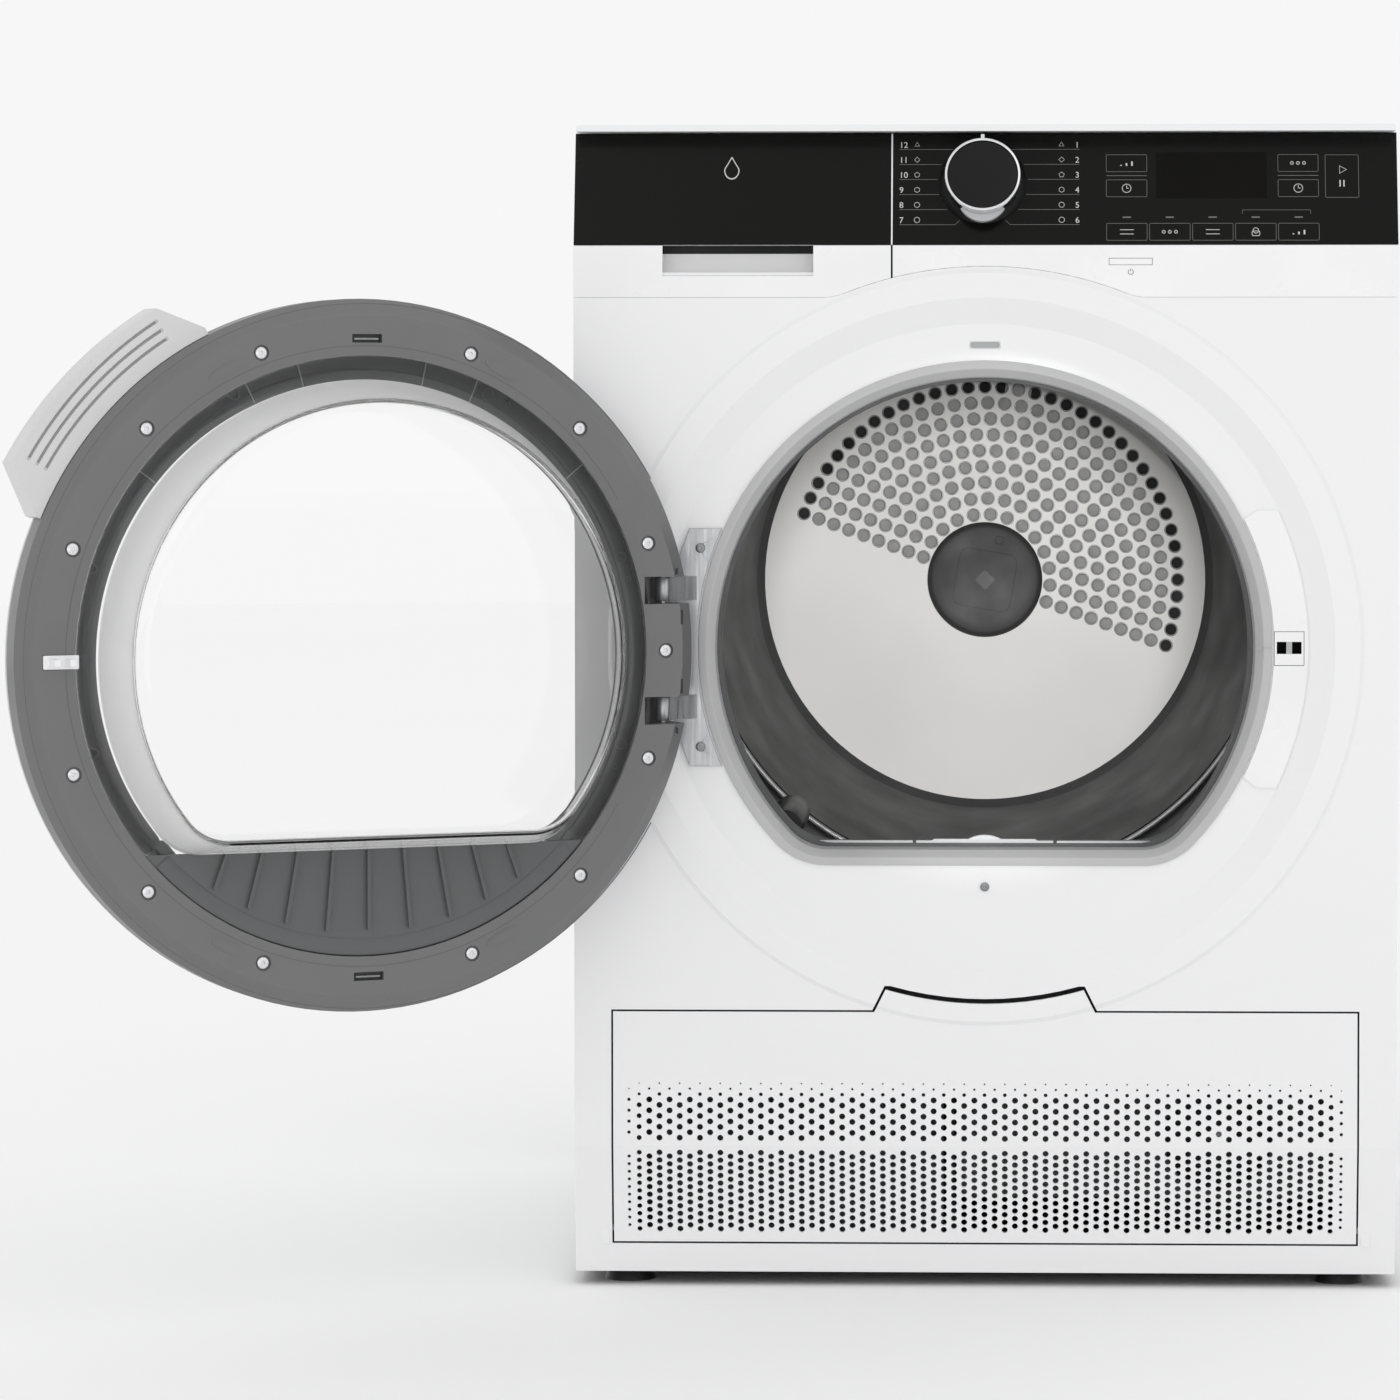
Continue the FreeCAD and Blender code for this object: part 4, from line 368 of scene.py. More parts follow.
def brushed(name, colour, roughness, stretch, metallic=0.9, depth=0.006, drift=0.07):
    """Rolled or brushed metal: long fine streaks along one direction."""
    look = Finish(name, colour, roughness, metallic)
    look.mottle(3 * MM, drift, stretch).uneven(2 * MM, 0.3, stretch)
    look.grain(1.2 * MM, depth * MM, stretch).grain(0.12, 0.05 * MM)
    return look.material


def coated(name, colour, roughness, drift, gloss, grain, metallic=0.0, **sockets):
    """A look with drift and gloss as (size in mm, share), grain as (size, depth in mm, stretch)."""
    look = Finish(name, colour, roughness, metallic, **sockets)
    look.mottle(drift[0] * MM, drift[1]).uneven(gloss[0] * MM, gloss[1])
    return look.grain(grain[0] * MM, grain[1] * MM, *grain[2:]).material


ENAMEL = enamel("white_enamel", tone(240, 240, 241))
ENAMEL_SIDE = enamel("white_enamel_sides", tone(238, 239, 240))
FASCIA = moulding("white_fascia", tone(242, 242, 243), 0.3, 0.008, Coat_Weight=0.2)
INNER_WHITE = moulding("white_inner", tone(226, 227, 228), 0.42, 0.02)
BULKHEAD = moulding("grey_bulkhead", tone(96, 97, 98), 0.55, 0.03)
GAUZE = coated("filter_gauze", tone(150), 0.8, (3, 0.1), (2, 0.1), (0.6, 0.15))
BASE_GREY = moulding("grey_base", tone(44, 45, 46), 0.6, 0.05)
FRAME_GREY = moulding("grey_door_frame", tone(111, 111, 112), 0.42, 0.03)
# Darker grey for painted shade of the door frame's grooves.
FRAME_GROOVE_SHADE = moulding("door_frame_groove_shade", tone(98, 98, 99), 0.45, 0.02)
LINER_GREY = moulding("grey_door_liner", tone(92, 93, 94), 0.35, 0.02)
HANDLE_GREY = moulding("grey_handle", tone(211, 211, 212), 0.42, 0.03)
TRIM_SILVER = coated("silver_trim", tone(186, 187, 188), 0.32, (50, 0.03), (40, 0.2), (0.5, 0.01), 0.35)
BLACK_PLASTIC = moulding("black_plastic", tone(34, 34, 35), 0.4, 0.03)
LEVER_BLUE = moulding("dark_levers", tone(70, 74, 80), 0.45, 0.03)
BLACK_GLASS = coated("black_glass", tone(17, 17, 16), 0.2, (200, 0.08), (100, 0.3), (30, 0.02),
                     Specular_IOR_Level=0.12)
DISPLAY = coated("display_window", tone(8, 7, 5), 0.1, (20, 0.2), (50, 0.3), (20, 0.01),
                 Specular_IOR_Level=0.1)
SEAL = Finish("seal_rubber", tone(190, 190, 191), 0.6, Specular_IOR_Level=0.35).mottle(
    0.06, 0.03).uneven(0.03, 0.12).grain(0.5 * MM, 0.03 * MM).grain(25 * MM, 0.1 * MM).material
ZINC = brushed("zinc_plate", tone(184, 185, 187), 0.36, (1, 1, 0.06))
ZINC_BACK = brushed("zinc_back", tone(186, 188, 190), 0.42, (0.06, 1, 1))
STEEL_SCREW = coated("screw_steel", tone(226, 226, 228), 0.28, (1.5, 0.08), (1, 0.25), (0.4, 0.01), 0.85)
HINGE_STEEL = brushed("hinge_steel", tone(140, 141, 143), 0.3, (1, 1, 0.08))
KNOB_BLACK = coated("knob_black", tone(17), 0.35, (20, 0.05), (20, 0.15), (0.5, 0.006),
                    Specular_IOR_Level=0.2)
CHROME = coated("knob_chrome", tone(225, 226, 228), 0.12, (10, 0.03), (10, 0.3), (4, 0.004), 1.0)
# Dark grey of the drum shell: painted shade and painted reflection of the dark inside on its steel.
DRUM_SHADED_STEEL = coated("drum_shell_painted_shade", tone(58, 59, 60), 0.42, (90, 0.05), (50, 0.15), (0.8, 0.012), 0.2)
DRUM_STEEL = coated("drum_steel", tone(226, 225, 223), 0.5, (250, 0.02), (200, 0.06),
                    (1.0, 0.008, (0.1, 1, 1)), 0.15)
# Mid grey for the pressed rims of the air holes: painted shade round each hole.
RIM_SHADE_STEEL = coated("hole_rim_painted_shade", tone(128), 0.35, (4, 0.15), (2, 0.2), (0.6, 0.01), 0.7)
# Near white for the drum's beads: painted highlight along them.
BEAD_HIGHLIGHT_STEEL = coated("bead_painted_highlight", tone(238), 0.3, (50, 0.02), (50, 0.1), (1, 0.005), 0.3)
MARK_GREY = coated("moulding_marks", tone(176, 177, 177), 0.4, (2, 0.04), (1, 0.1), (0.4, 0.004))
DIFFUSER = coated("diffuser_plate", tone(176), 0.75, (8, 0.1), (5, 0.2), (1, 0.01))
HUB_GREY = moulding("hub_cover", tone(66), 0.55, 0.03)
# Darker grey for painted shade in the hub's creases.
HUB_CREASE_SHADE = moulding("hub_crease_shade", tone(48), 0.55, 0.02)
HUB_PALE = moulding("hub_diamond", tone(82), 0.5, 0.02)
FINS = brushed("condenser_fins", tone(74, 76, 78), 0.5, (1, 0.1, 1), 0.3)
BELT = moulding("belt_rubber", tone(28), 0.7, 0.08)
BOARD = moulding("circuit_board", tone(30, 88, 52), 0.5, 0.05)
INK = coated("white_ink", tone(205, 205, 203), 0.5, (2, 0.04), (1, 0.1), (0.3, 0.004))
FAINT_INK = coated("grey_ink", tone(104, 104, 102), 0.5, (2, 0.05), (1, 0.1), (0.3, 0.004))
SLOT_GREY = moulding("slot_cup", tone(176, 177, 178), 0.5, 0.02)
# Mid grey for painted shade in the handle's grooves.
GROOVE_SHADE_GREY = moulding("handle_groove_shade", tone(140, 140, 141), 0.5, 0.02)
SLOT_RIM = moulding("slot_rim", tone(214, 215, 216), 0.4, 0.01)
# Black for painted shade and painted shadow: in the latch ports, the drawer's slot and behind the drum's
# holes.
SHADE_BLACK = moulding("painted_shade_black", tone(20), 0.7, 0.02)
PAPER = coated("paper", tone(252), 0.9, (1500, 0.004), (500, 0.05), (3, 0.02),
               Specular_IOR_Level=0.1)


def clear(name, colour, roughness):
    """Clear moulded glass or polycarbonate with slightly wavy faces."""
    look = Finish(name, colour, roughness, Transmission_Weight=1.0, IOR=1.38)
    look.mottle(0.2, 0.004).uneven(0.05, 0.3).grain(60 * MM, 0.02 * MM)
    return look.material


PANE_GLASS = clear("pane_glass", tone(255), 0.0)
BOWL_GLASS = clear("bowl_glass", tone(255), 0.0)
BOWL_WALL = coated("bowl_reeding", tone(250), 0.35, (100, 0.01), (100, 0.1),
                   (0.9, 0.012, (1, 1, 0.2)), Transmission_Weight=0.5, IOR=1.46)

CAD_LOOKS = {
    ENAMEL: "front_panel kick_door",
    ENAMEL_SIDE: "side_panel_left side_panel_right worktop",
    FASCIA: "control_fascia tank_front power_button latch_cover door_latch door_striker",
    INNER_WHITE: "filter_frame filter_leaf",
    BULKHEAD: "front_bulkhead",
    BASE_GREY: "base_tray fan_housings tank_sleeve",
    FRAME_GREY: "door_frame",
    LINER_GREY: "door_sill",
    HANDLE_GREY: "door_handle tank_body",
    TRIM_SILVER: "door_bezel",
    BLACK_GLASS: "fascia_glass tank_glass",
    PANE_GLASS: "door_glass",
    BLACK_PLASTIC: ("knob_body drum_lifters motor_fans idler_wheel drain_pump rear_fittings"
                    " foot_front_left foot_front_right foot_rear_left foot_rear_right"),
    LEVER_BLUE: "condenser_lever_left condenser_lever_right",
    ZINC: "hinge_plate hinge_pins rear_bearing motor_pulley idler_arm",
    DIFFUSER: "drum_shaft",
    ZINC_BACK: "rear_panel rear_duct drive_motor heater",
    DRUM_SHADED_STEEL: "drum_shell",
    DRUM_STEEL: "drum_back",
    FINS: "condenser",
    BELT: "drive_belt roller_left roller_right",
    BOARD: "control_board",
    HUB_GREY: "drum_hub",
    CHROME: "knob_ring",
    STEEL_SCREW: "door_screws cabinet_screws",
    SEAL: "door_seal",
    BOWL_GLASS: "door_bowl",
}
SOFT_EDGES = {
    0.6 * MM: "latch_cover door_handle door_striker",
    0.4 * MM: "hinge_plate drum_lifters door_sill",
}


def dress_cad_nodes():
    for look, names in CAD_LOOKS.items():
        for name in names.split():
            mesh = NODES[name].data
            mesh.materials.clear()
            mesh.materials.append(look)
    for width, names in SOFT_EDGES.items():
        for name in names.split():
            soften(name, width)


# ---- Loading opening ----
MOUTH_RAD, MOUTH_DROP, MOUTH_CORNER = 196.5 * MM, 147.5 * MM, 38 * MM
MOUTH_Y = FRONT_Y + 32 * MM


def make_gasket():
    """Rubber lip round the opening: a flange on the dish and a funnel into the machine."""
    section = rounded([(12.8 * MM, FLOOR_Y - 0.3 * MM), (12.8 * MM, FLOOR_Y - 2.1 * MM),
                       (6.6 * MM, FLOOR_Y - 2.6 * MM), (0.8 * MM, FLOOR_Y + 5 * MM),
                       (0.2 * MM, MOUTH_Y - 0.5 * MM), (2.4 * MM, MOUTH_Y),
                       (7.2 * MM, FLOOR_Y + 3 * MM)], 1.6 * MM, 5)
    rings = []
    for out, y in section:
        outline = dee(MOUTH_RAD + out, MOUTH_DROP + out * 0.92, MOUTH_CORNER + out)
        rings.append(ring_at(outline, y, LOAD_Z))
    shape = Shape().add(*loft(rings, closed=True))
    gasket = shape.piece("opening_gasket", "cabinet", "seal_rubber", SEAL, sharp=60)
    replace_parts(gasket, "door_seal")
    joint = rounded(rectangle(MOUTH_RAD + 0.6 * MM, MOUTH_RAD + 12 * MM,
                              LOAD_Z - 0.3 * MM, LOAD_Z + 0.3 * MM), 0.1 * MM, 1)
    plate(joint, FLOOR_Y - 2.72 * MM, FLOOR_Y - 2 * MM,
          "gasket_joint", "cabinet", "seal_rubber", SLOT_GREY)


def make_throat_ledge():
    """White ledge under the opening, and the step beside the filter's grip."""
    top = LOAD_Z - 144 * MM
    ledge = Shape()
    for side in (-1, 1):
        points = [(side * 53 * MM, top - 4 * MM), (side * 134 * MM, top - 4 * MM),
                  (side * 128 * MM, top), (side * 53 * MM, top)]
        ledge.add(*slab(rounded(points, 0.8 * MM), FRONT_Y + 38.2 * MM, FRONT_Y + 41.4 * MM))
    ledge.piece("throat_ledge", "cabinet", "white_plastic", INNER_WHITE)
    plate(rounded(mm_box(-42, 42, 212, 308), 4 * MM), FRONT_Y + 41.9 * MM, FRONT_Y + 42.1 * MM,
          "filter_gauze", "filter", "grey_plastic", GAUZE)
    step = [(-50.5 * MM, top - 3 * MM), (50.5 * MM, top - 3 * MM), (50.5 * MM, top),
            (39 * MM, top), (37 * MM, top + 1.2 * MM), (-37 * MM, top + 1.2 * MM),
            (-39 * MM, top), (-50.5 * MM, top)]
    plate(rounded(step, 0.8 * MM), FRONT_Y + 38.6 * MM, FRONT_Y + 42 * MM,
          "filter_step", "filter", "white_plastic", INNER_WHITE)


def make_dish_slot():
    """Grey pill-shaped cup in the slot at the top of the dish, with a soft rim."""
    middle = LOAD_Z + 220.5 * MM
    pill = rounded(mm_box(-10.6, 10.6, -2.1, 2.1, middle), 2 * MM, 5)
    edge = rounded(mm_box(-11.4, 11.4, -2.9, 2.9, middle), 1 * MM, 5)
    Shape().add(*frame_strip(edge, pill, FLOOR_Y - 0.15 * MM, FLOOR_Y + 1.2 * MM)).piece(
        "dish_slot_rim", "cabinet", "white_enamel", SLOT_RIM)
    plate(pill, FLOOR_Y + 0.9 * MM, FLOOR_Y + 1.6 * MM,
          "dish_slot_cup", "cabinet", "grey_plastic", SLOT_GREY)


# ---- Door ----
BOWL_FLANGE = 217 * MM
BOWL_BACK_Y = FACE_Y - 10.1 * MM
BOWL_FACE_Y = FACE_Y + 40 * MM
BOWL_THICK = 3 * MM


def make_bowl():
    """Clear bowl: a flat flange, a reeded wall and a softly rounded face."""
    def section(radius, drop, y):
        return ring_at(dee(radius, drop, 38 * MM), y, LOAD_Z)

    flange_y = BOWL_BACK_Y + 4 * MM
    opening = dee(193 * MM, 134 * MM, 40 * MM)
    around = []
    for x, z in opening:
        reach = math.hypot(x, z)
        around.append((x / reach * BOWL_FLANGE, z / reach * BOWL_FLANGE))
    flange = [ring_at(around, flange_y, LOAD_Z), ring_at(opening, flange_y, LOAD_Z)]
    rings = flange + [section(191.6 * MM, 133.2 * MM, flange_y + 1.5 * MM)]
    wall_steps, edge_steps, edge = 6, 8, 8 * MM
    for i in range(1, wall_steps + 1):
        t = i / wall_steps
        rings.append(section((191 - 13 * t) * MM, (133 - 9 * t) * MM,
                             flange_y + 3 * MM + t * (BOWL_FACE_Y - edge - flange_y - 3 * MM)))
    for i in range(1, edge_steps + 1):
        turn = math.pi / 2 * i / edge_steps
        inward = edge * (1 - math.cos(turn))
        rings.append(section(178 * MM - inward, 124 * MM - inward,
                             BOWL_FACE_Y - edge + edge * math.sin(turn)))
    face = dee(170 * MM, 113 * MM, 26 * MM)
    for scale in (0.97, 0.85, 0.6, 0.3, 0.02):
        rings.append([(x * scale, BOWL_FACE_Y + 0.6 * MM * (1 - scale), LOAD_Z + z * scale)
                      for x, z in face])
    verts, faces = loft(rings)
    count = len(face)
    faces.append(tuple(range(len(verts) - count, len(verts))))
    bowl = add_piece("door_bowl_shell", verts, faces, "door", BOWL_GLASS, SWING, 50)
    bowl.data.materials.append(BOWL_WALL)
    first_wall, last_wall = 2, 2 + wall_steps
    for polygon in bowl.data.polygons:
        row = min(polygon.vertices) // count
        on_base = ARC_STEPS <= min(polygon.vertices) % count < count - CORNER_STEPS
        if first_wall <= row < last_wall and not on_base:
            polygon.material_index = 1
    thick = bowl.modifiers.new("thickness", "SOLIDIFY")
    thick.thickness = BOWL_THICK
    thick.offset = -1.0
    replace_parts(bowl, "door_bowl")


def door_arc(section, start, sweep, steps):
    """A strip on the closed door: (radius, y) points swept round its middle by degrees."""
    rings = []
    for k in range(steps + 1):
        angle = math.radians(start + sweep * k / steps)
        rings.append([(r * math.cos(angle), y, LOAD_Z + r * math.sin(angle)) for r, y in section])
    return loft(rings)


def make_door_liner():
    """Dark stepped ring behind the clear flange, with bosses and moulding marks."""
    back = BOWL_BACK_Y - 0.6 * MM
    steps = [(215, back), (209, back), (208.4, back - 1.2 * MM), (199.5, back - 1.2 * MM),
             (198.6, back - 0.2 * MM), (192.5, back - 0.2 * MM), (191.5, back - 1.4 * MM),
             (203, PANE_Y + 5 * MM), (215, PANE_Y + 5 * MM)]
    profile = rounded([(r * MM, y) for r, y in steps], 0.5 * MM, 3)
    Shape().add(*turned(profile, 0, LOAD_Z, 180)).piece(
        "door_liner", "door", "grey_plastic", LINER_GREY, SWING)
    marks = Shape()
    for turn in (-51, -24, -13, 13, 24, 51, 160, 172, 188, 200):
        strip = mm_box(-0.3, 0.3, 193, 210.5)
        marks.add(*slab(strip, back - 1.3 * MM, back + 0.25 * MM), clocked(LOAD_Z, turn))
    marks.piece("door_liner_marks", "door", "clear_glass", MARK_GREY, SWING)
    bosses = Shape()
    for turn in (18, 63, 117, 161, -18, -63, -117, -161):
        for swing, radius, size in ((0, 203.5, 4.2), (4.6, 205, 1.9)):
            angle = math.radians(turn + math.copysign(swing, 90 - abs(turn)) * -1)
            x, z = radius * MM * math.cos(angle), radius * MM * math.sin(angle)
            wall = rounded([((size - 0.9) * MM, back - 1.4 * MM), ((size - 0.9) * MM, back),
                            (size * MM, back), (size * MM, back - 1.4 * MM)], 0.3 * MM, 2)
            bosses.add(*turned(wall, x, LOAD_Z + z, 28))
    bosses.piece("door_liner_bosses", "door", "grey_plastic", FRAME_GREY, SWING)
    lower = BOWL_BACK_Y + 8.3 * MM
    section = [(r * MM, lower + up * MM) for r, up in
               ((198.5, 0.0), (199.3, 0.55), (209.8, 0.6), (210.2, 0.0))]
    Shape().add(*door_arc(section, -137, 94, 64)).piece(
        "door_sill_rim", "door", "grey_plastic", LINER_GREY, SWING)


def make_handle_grooves():
    """Darker strips on the floors of the three grooves in the handle: painted shade."""
    floor_y = FACE_Y - 13 * MM - 1.15 * MM
    grooves = Shape()
    for radius in (277, 270, 263):
        section = [((radius + out) * MM, floor_y + up * MM) for out, up in
                   ((-0.95, 0), (-0.7, 0.3), (0.7, 0.3), (0.95, 0))]
        grooves.add(*door_arc(section, 30.4, 27, 32))
    grooves.piece("handle_groove_floors", "door", "light_grey_plastic", GROOVE_SHADE_GREY, SWING)


SLOT_PLACES = (223 * MM, -225 * MM)  # the frame's two slots, above and below its middle


def make_frame_slits():
    """Black slabs in the slits beside the hinge arms and on the floors of the frame's slots, painted
    shade for their depth, and two darker rings on the frame, painted shade of its grooves.
    """
    slits = Shape()
    for x, z, wide, high in ((-238.4, 23.8, 1.8, 10.5), (-238.4, -26, 1.8, 10.5),
                             (-234.7, 57, 1.4, 4.5), (-234.7, -58, 1.4, 4.5)):
        box = mm_box(x - wide / 2, x + wide / 2, z - high / 2, z + high / 2, LOAD_Z)
        outline = rounded(box, 0.5 * MM, 2)
        slits.add(*slab(outline, FACE_Y - 0.8 * MM, FACE_Y + 0.06 * MM))
    # Black floors in the two slots: painted shade.
    for z in SLOT_PLACES:
        floor = rounded(mm_box(-10.9, 10.9, -2.9, 2.9, LOAD_Z + z), 0.8 * MM, 2)
        slits.add(*slab(floor, FACE_Y - 3.98 * MM, FACE_Y - 3.4 * MM))
    slits.piece("door_frame_slit_shade", "door", "dark_plastic", BLACK_PLASTIC, SWING)

    # Two darker rings on the frame: painted shade of its grooves.
    lines = Shape()
    for radius in (247, 217.5):
        section = [((radius + out) * MM, FACE_Y + up * MM) for out, up in
                   ((0, -0.3), (0, 0.06), (0.8, 0.06), (0.8, -0.3))]
        lines.add(*door_arc(section, 150, -300, 128))
    lines.piece("door_frame_groove_shade", "door", "grey_plastic", FRAME_GROOVE_SHADE, SWING)


STAR_POINTS = 6


def screw_head(radius, height, socket, star=True):
    """A pan head that faces -Y with a star or cross recess, its seat at y = 0."""
    def wave(angle, r, y):
        if r > socket * 1.05 or r < socket * 0.2:
            return 0.0
        if star:
            return 0.16 * socket * math.cos(STAR_POINTS * angle)
        return 0.45 * socket * (math.cos(4 * angle) ** 3 - 0.3)

    line = [(0, 0), (radius, 0), (radius, -0.45 * height), (0.93 * radius, -0.75 * height),
            (0.75 * radius, -0.94 * height), (0.5 * radius, -height),
            (socket * 1.12, -height), (socket, -0.9 * height), (0.9 * socket, -0.3 * height),
            (0, -0.25 * height)]
    return cap_turned(line, segments=48, wave=wave)


DOOR_SCREW_TURNS = (-110, -70, -45, -20, 20, 45, 70, 110, 135, 160, 180, -160, -135)
DOOR_SCREW_RAD = 226 * MM


def make_door_screws():
    heads = Shape()
    for turn in DOOR_SCREW_TURNS:
        angle = math.radians(turn)
        spot = Vector((DOOR_SCREW_RAD * math.cos(angle), FACE_Y - 2.2 * MM,
                       LOAD_Z + DOOR_SCREW_RAD * math.sin(angle)))
        flip = Matrix.Rotation(math.pi, 4, "Z") @ Matrix.Rotation(angle, 4, "Y")
        heads.add(*screw_head(4.3 * MM, 1.9 * MM, 1.5 * MM), Matrix.Translation(spot) @ flip)
    piece = heads.piece("door_screw_heads", "door", "zinc_steel", STEEL_SCREW, SWING)
    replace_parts(piece, "door_screws")


def make_door_embossing():
    """Four long ovals pressed into the frame, and the spring blade in each of its slots."""
    ovals = Shape()
    for turn in (62.8, 116.5, -62.8, -116.5):
        for scale, y in ((1.0, 0.05), (0.82, 0.35), (0.6, 0.5)):
            outline = [(16.5 * MM * x, 5.2 * MM * z) for x, z in circle(scale, 48)]
            place = (clocked(LOAD_Z, -turn) @ Matrix.Translation((225 * MM, 0, 0))
                     @ clocked(0, 90))
            ovals.add(*slab(outline, FACE_Y - 0.3 * MM, FACE_Y + y * MM), place)
    ovals.piece("door_frame_pads", "door", "grey_plastic", FRAME_GREY, SWING)
    hooks = Shape()
    for z in SLOT_PLACES:
        blade = rounded(mm_box(-9, 9, -0.9, 0.3, LOAD_Z + z), 0.5 * MM)
        hooks.add(*slab(blade, FACE_Y - 3.5 * MM, FACE_Y - 1.9 * MM))
    hooks.piece("door_slot_springs", "door", "zinc_steel", HINGE_STEEL, SWING)


# ---- Cabinet screws and hinge details ----
# The hinge plate's two screws: their x, and how far above and below the hinge's middle they are
HINGE_SCREW_X, HINGE_SCREW_UP = HINGE.x + 26 * MM, 72.6 * MM


def make_cabinet_screws():
    heads = Shape()
    heads.add(*screw_head(3.3 * MM, 1.5 * MM, 1.3 * MM, star=False),
              Matrix.Translation((0, FLOOR_Y, LOAD_Z - 175 * MM)))
    for side in (-1, 1):
        spot = (HINGE_SCREW_X, FLOOR_Y - 2.2 * MM, LOAD_Z + side * HINGE_SCREW_UP)
        heads.add(*screw_head(3.6 * MM, 1.6 * MM, 1.3 * MM), Matrix.Translation(spot))
    rear_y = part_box("rear_panel")[1].y
    for x in (-270, 270):
        for z in (60, 300, 540, 780):
            place = (Matrix.Translation((x * MM, rear_y, z * MM))
                     @ Matrix.Rotation(math.pi, 4, "Z"))
            heads.add(*screw_head(3.3 * MM, 1.5 * MM, 1.3 * MM, star=False), place)
    piece = heads.piece("cabinet_screw_heads", "cabinet", "zinc_steel", HINGE_STEEL)
    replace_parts(piece, "cabinet_screws")


def make_corner_gussets():
    """Closes the wedge between the leaning lower front and the side sheets."""
    edge, crease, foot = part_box("side_panel_right")[1].x, 104 * MM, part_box("front_panel")[0].z
    wedge = [(FRONT_Y + 0.3 * MM, crease), (FRONT_Y + 12.3 * MM, foot), (FRONT_Y + 14 * MM, foot),
             (FRONT_Y + 14 * MM, crease)]
    shape = Shape()
    for side in (-1, 1):
        rings = [[(side * x, y, z) for y, z in wedge] for x in (edge - 1.2 * MM, edge - 0.1 * MM)]
        verts, faces = loft(rings)
        shape.add(verts, faces + [(0, 1, 2, 3), (7, 6, 5, 4)])
    shape.piece("corner_gussets", "cabinet", "white_enamel", ENAMEL_SIDE)


def make_hinge_tongues():
    """Pressed tongues round the hinge plate's screws."""
    shape = Shape()
    y = FLOOR_Y - 2.2 * MM
    for side in (-1, 1):
        x, z = HINGE_SCREW_X, LOAD_Z + side * HINGE_SCREW_UP
        points = arc(8 * MM, 0, -180 * side, 24, x, z)
        foot = z + side * 14 * MM
        outer = [(x + 8 * MM, foot), *points, (x - 8 * MM, foot)]
        inner = [(x + (px - x) * 0.86, pz if pz == foot else z + (pz - z) * 0.86)
                 for px, pz in outer]
        shape.add(*frame_strip(outer, inner, y - 0.5 * MM, y + 0.1 * MM))
    shape.piece("hinge_plate_tongues", "cabinet", "zinc_steel", ZINC)


# ---- Drum ----
AIR_RING, AIR_PITCH, AIR_HOLE = 161 * MM, 13.3 * MM, 5 * MM
AIR_TURN = math.radians(-20)


def air_holes():
    """Centres of the air holes in the drum's back, on nine half rings."""
    for ring in range(9):
        radius, steps = AIR_RING - ring * AIR_PITCH, 36 - 3 * ring
        for step in range(steps + 1):
            turn = AIR_TURN + math.pi * step / steps
            yield radius * math.cos(turn), radius * math.sin(turn)


def make_drum_details():
    rims = Shape()
    y = DRUM_BACK_Y
    profile = rounded([(AIR_HOLE - 0.5 * MM, y + 0.9 * MM), (AIR_HOLE - 0.5 * MM, y - 0.6 * MM),
                       (AIR_HOLE + 0.5 * MM, y - 0.7 * MM), (AIR_HOLE + 1.1 * MM, y + 0.05 * MM),
                       (AIR_HOLE - 0.1 * MM, y + 0.1 * MM)], 0.25 * MM, 1)
    # The rims' darker grey is painted shade round each pressed hole.
    for x, z in air_holes():
        rims.add(*turned(profile, x, DRUM_Z + z, 20))
    rims.piece("air_hole_rims", "drum", "drum_steel", RIM_SHADE_STEEL, sharp=70)

    disc = rounded(mm_box(50, 154, 6.3, 6.9, y), 0.1 * MM, 1)
    Shape().add(*turned(disc, 0, DRUM_Z, 96)).piece(
        "air_diffuser", "drum", "drum_steel", DIFFUSER)
    # Black ring behind the outer holes: painted shadow hiding the bright duct behind them.
    shadow_ring = rounded(mm_box(154.1, 180, 5.4, 7.4, y), 0.3 * MM, 2)
    Shape().add(*turned(shadow_ring, 0, DRUM_Z, 96)).piece(
        "rear_painted_shadow_ring", "drum", "seal_rubber", SHADE_BLACK)

    # Two beads round the drum, coloured near white as painted highlight lines.
    beads = Shape()
    for radius, bead_y, size in ((228.6 * MM, 14 * MM, 1.9 * MM), (246 * MM, -43 * MM, 1.5 * MM)):
        beads.add(*turned(circle(size, 12, radius, bead_y), 0, DRUM_Z, 160))
    beads.piece("drum_beads", "drum", "drum_steel", BEAD_HIGHLIGHT_STEEL, sharp=80)


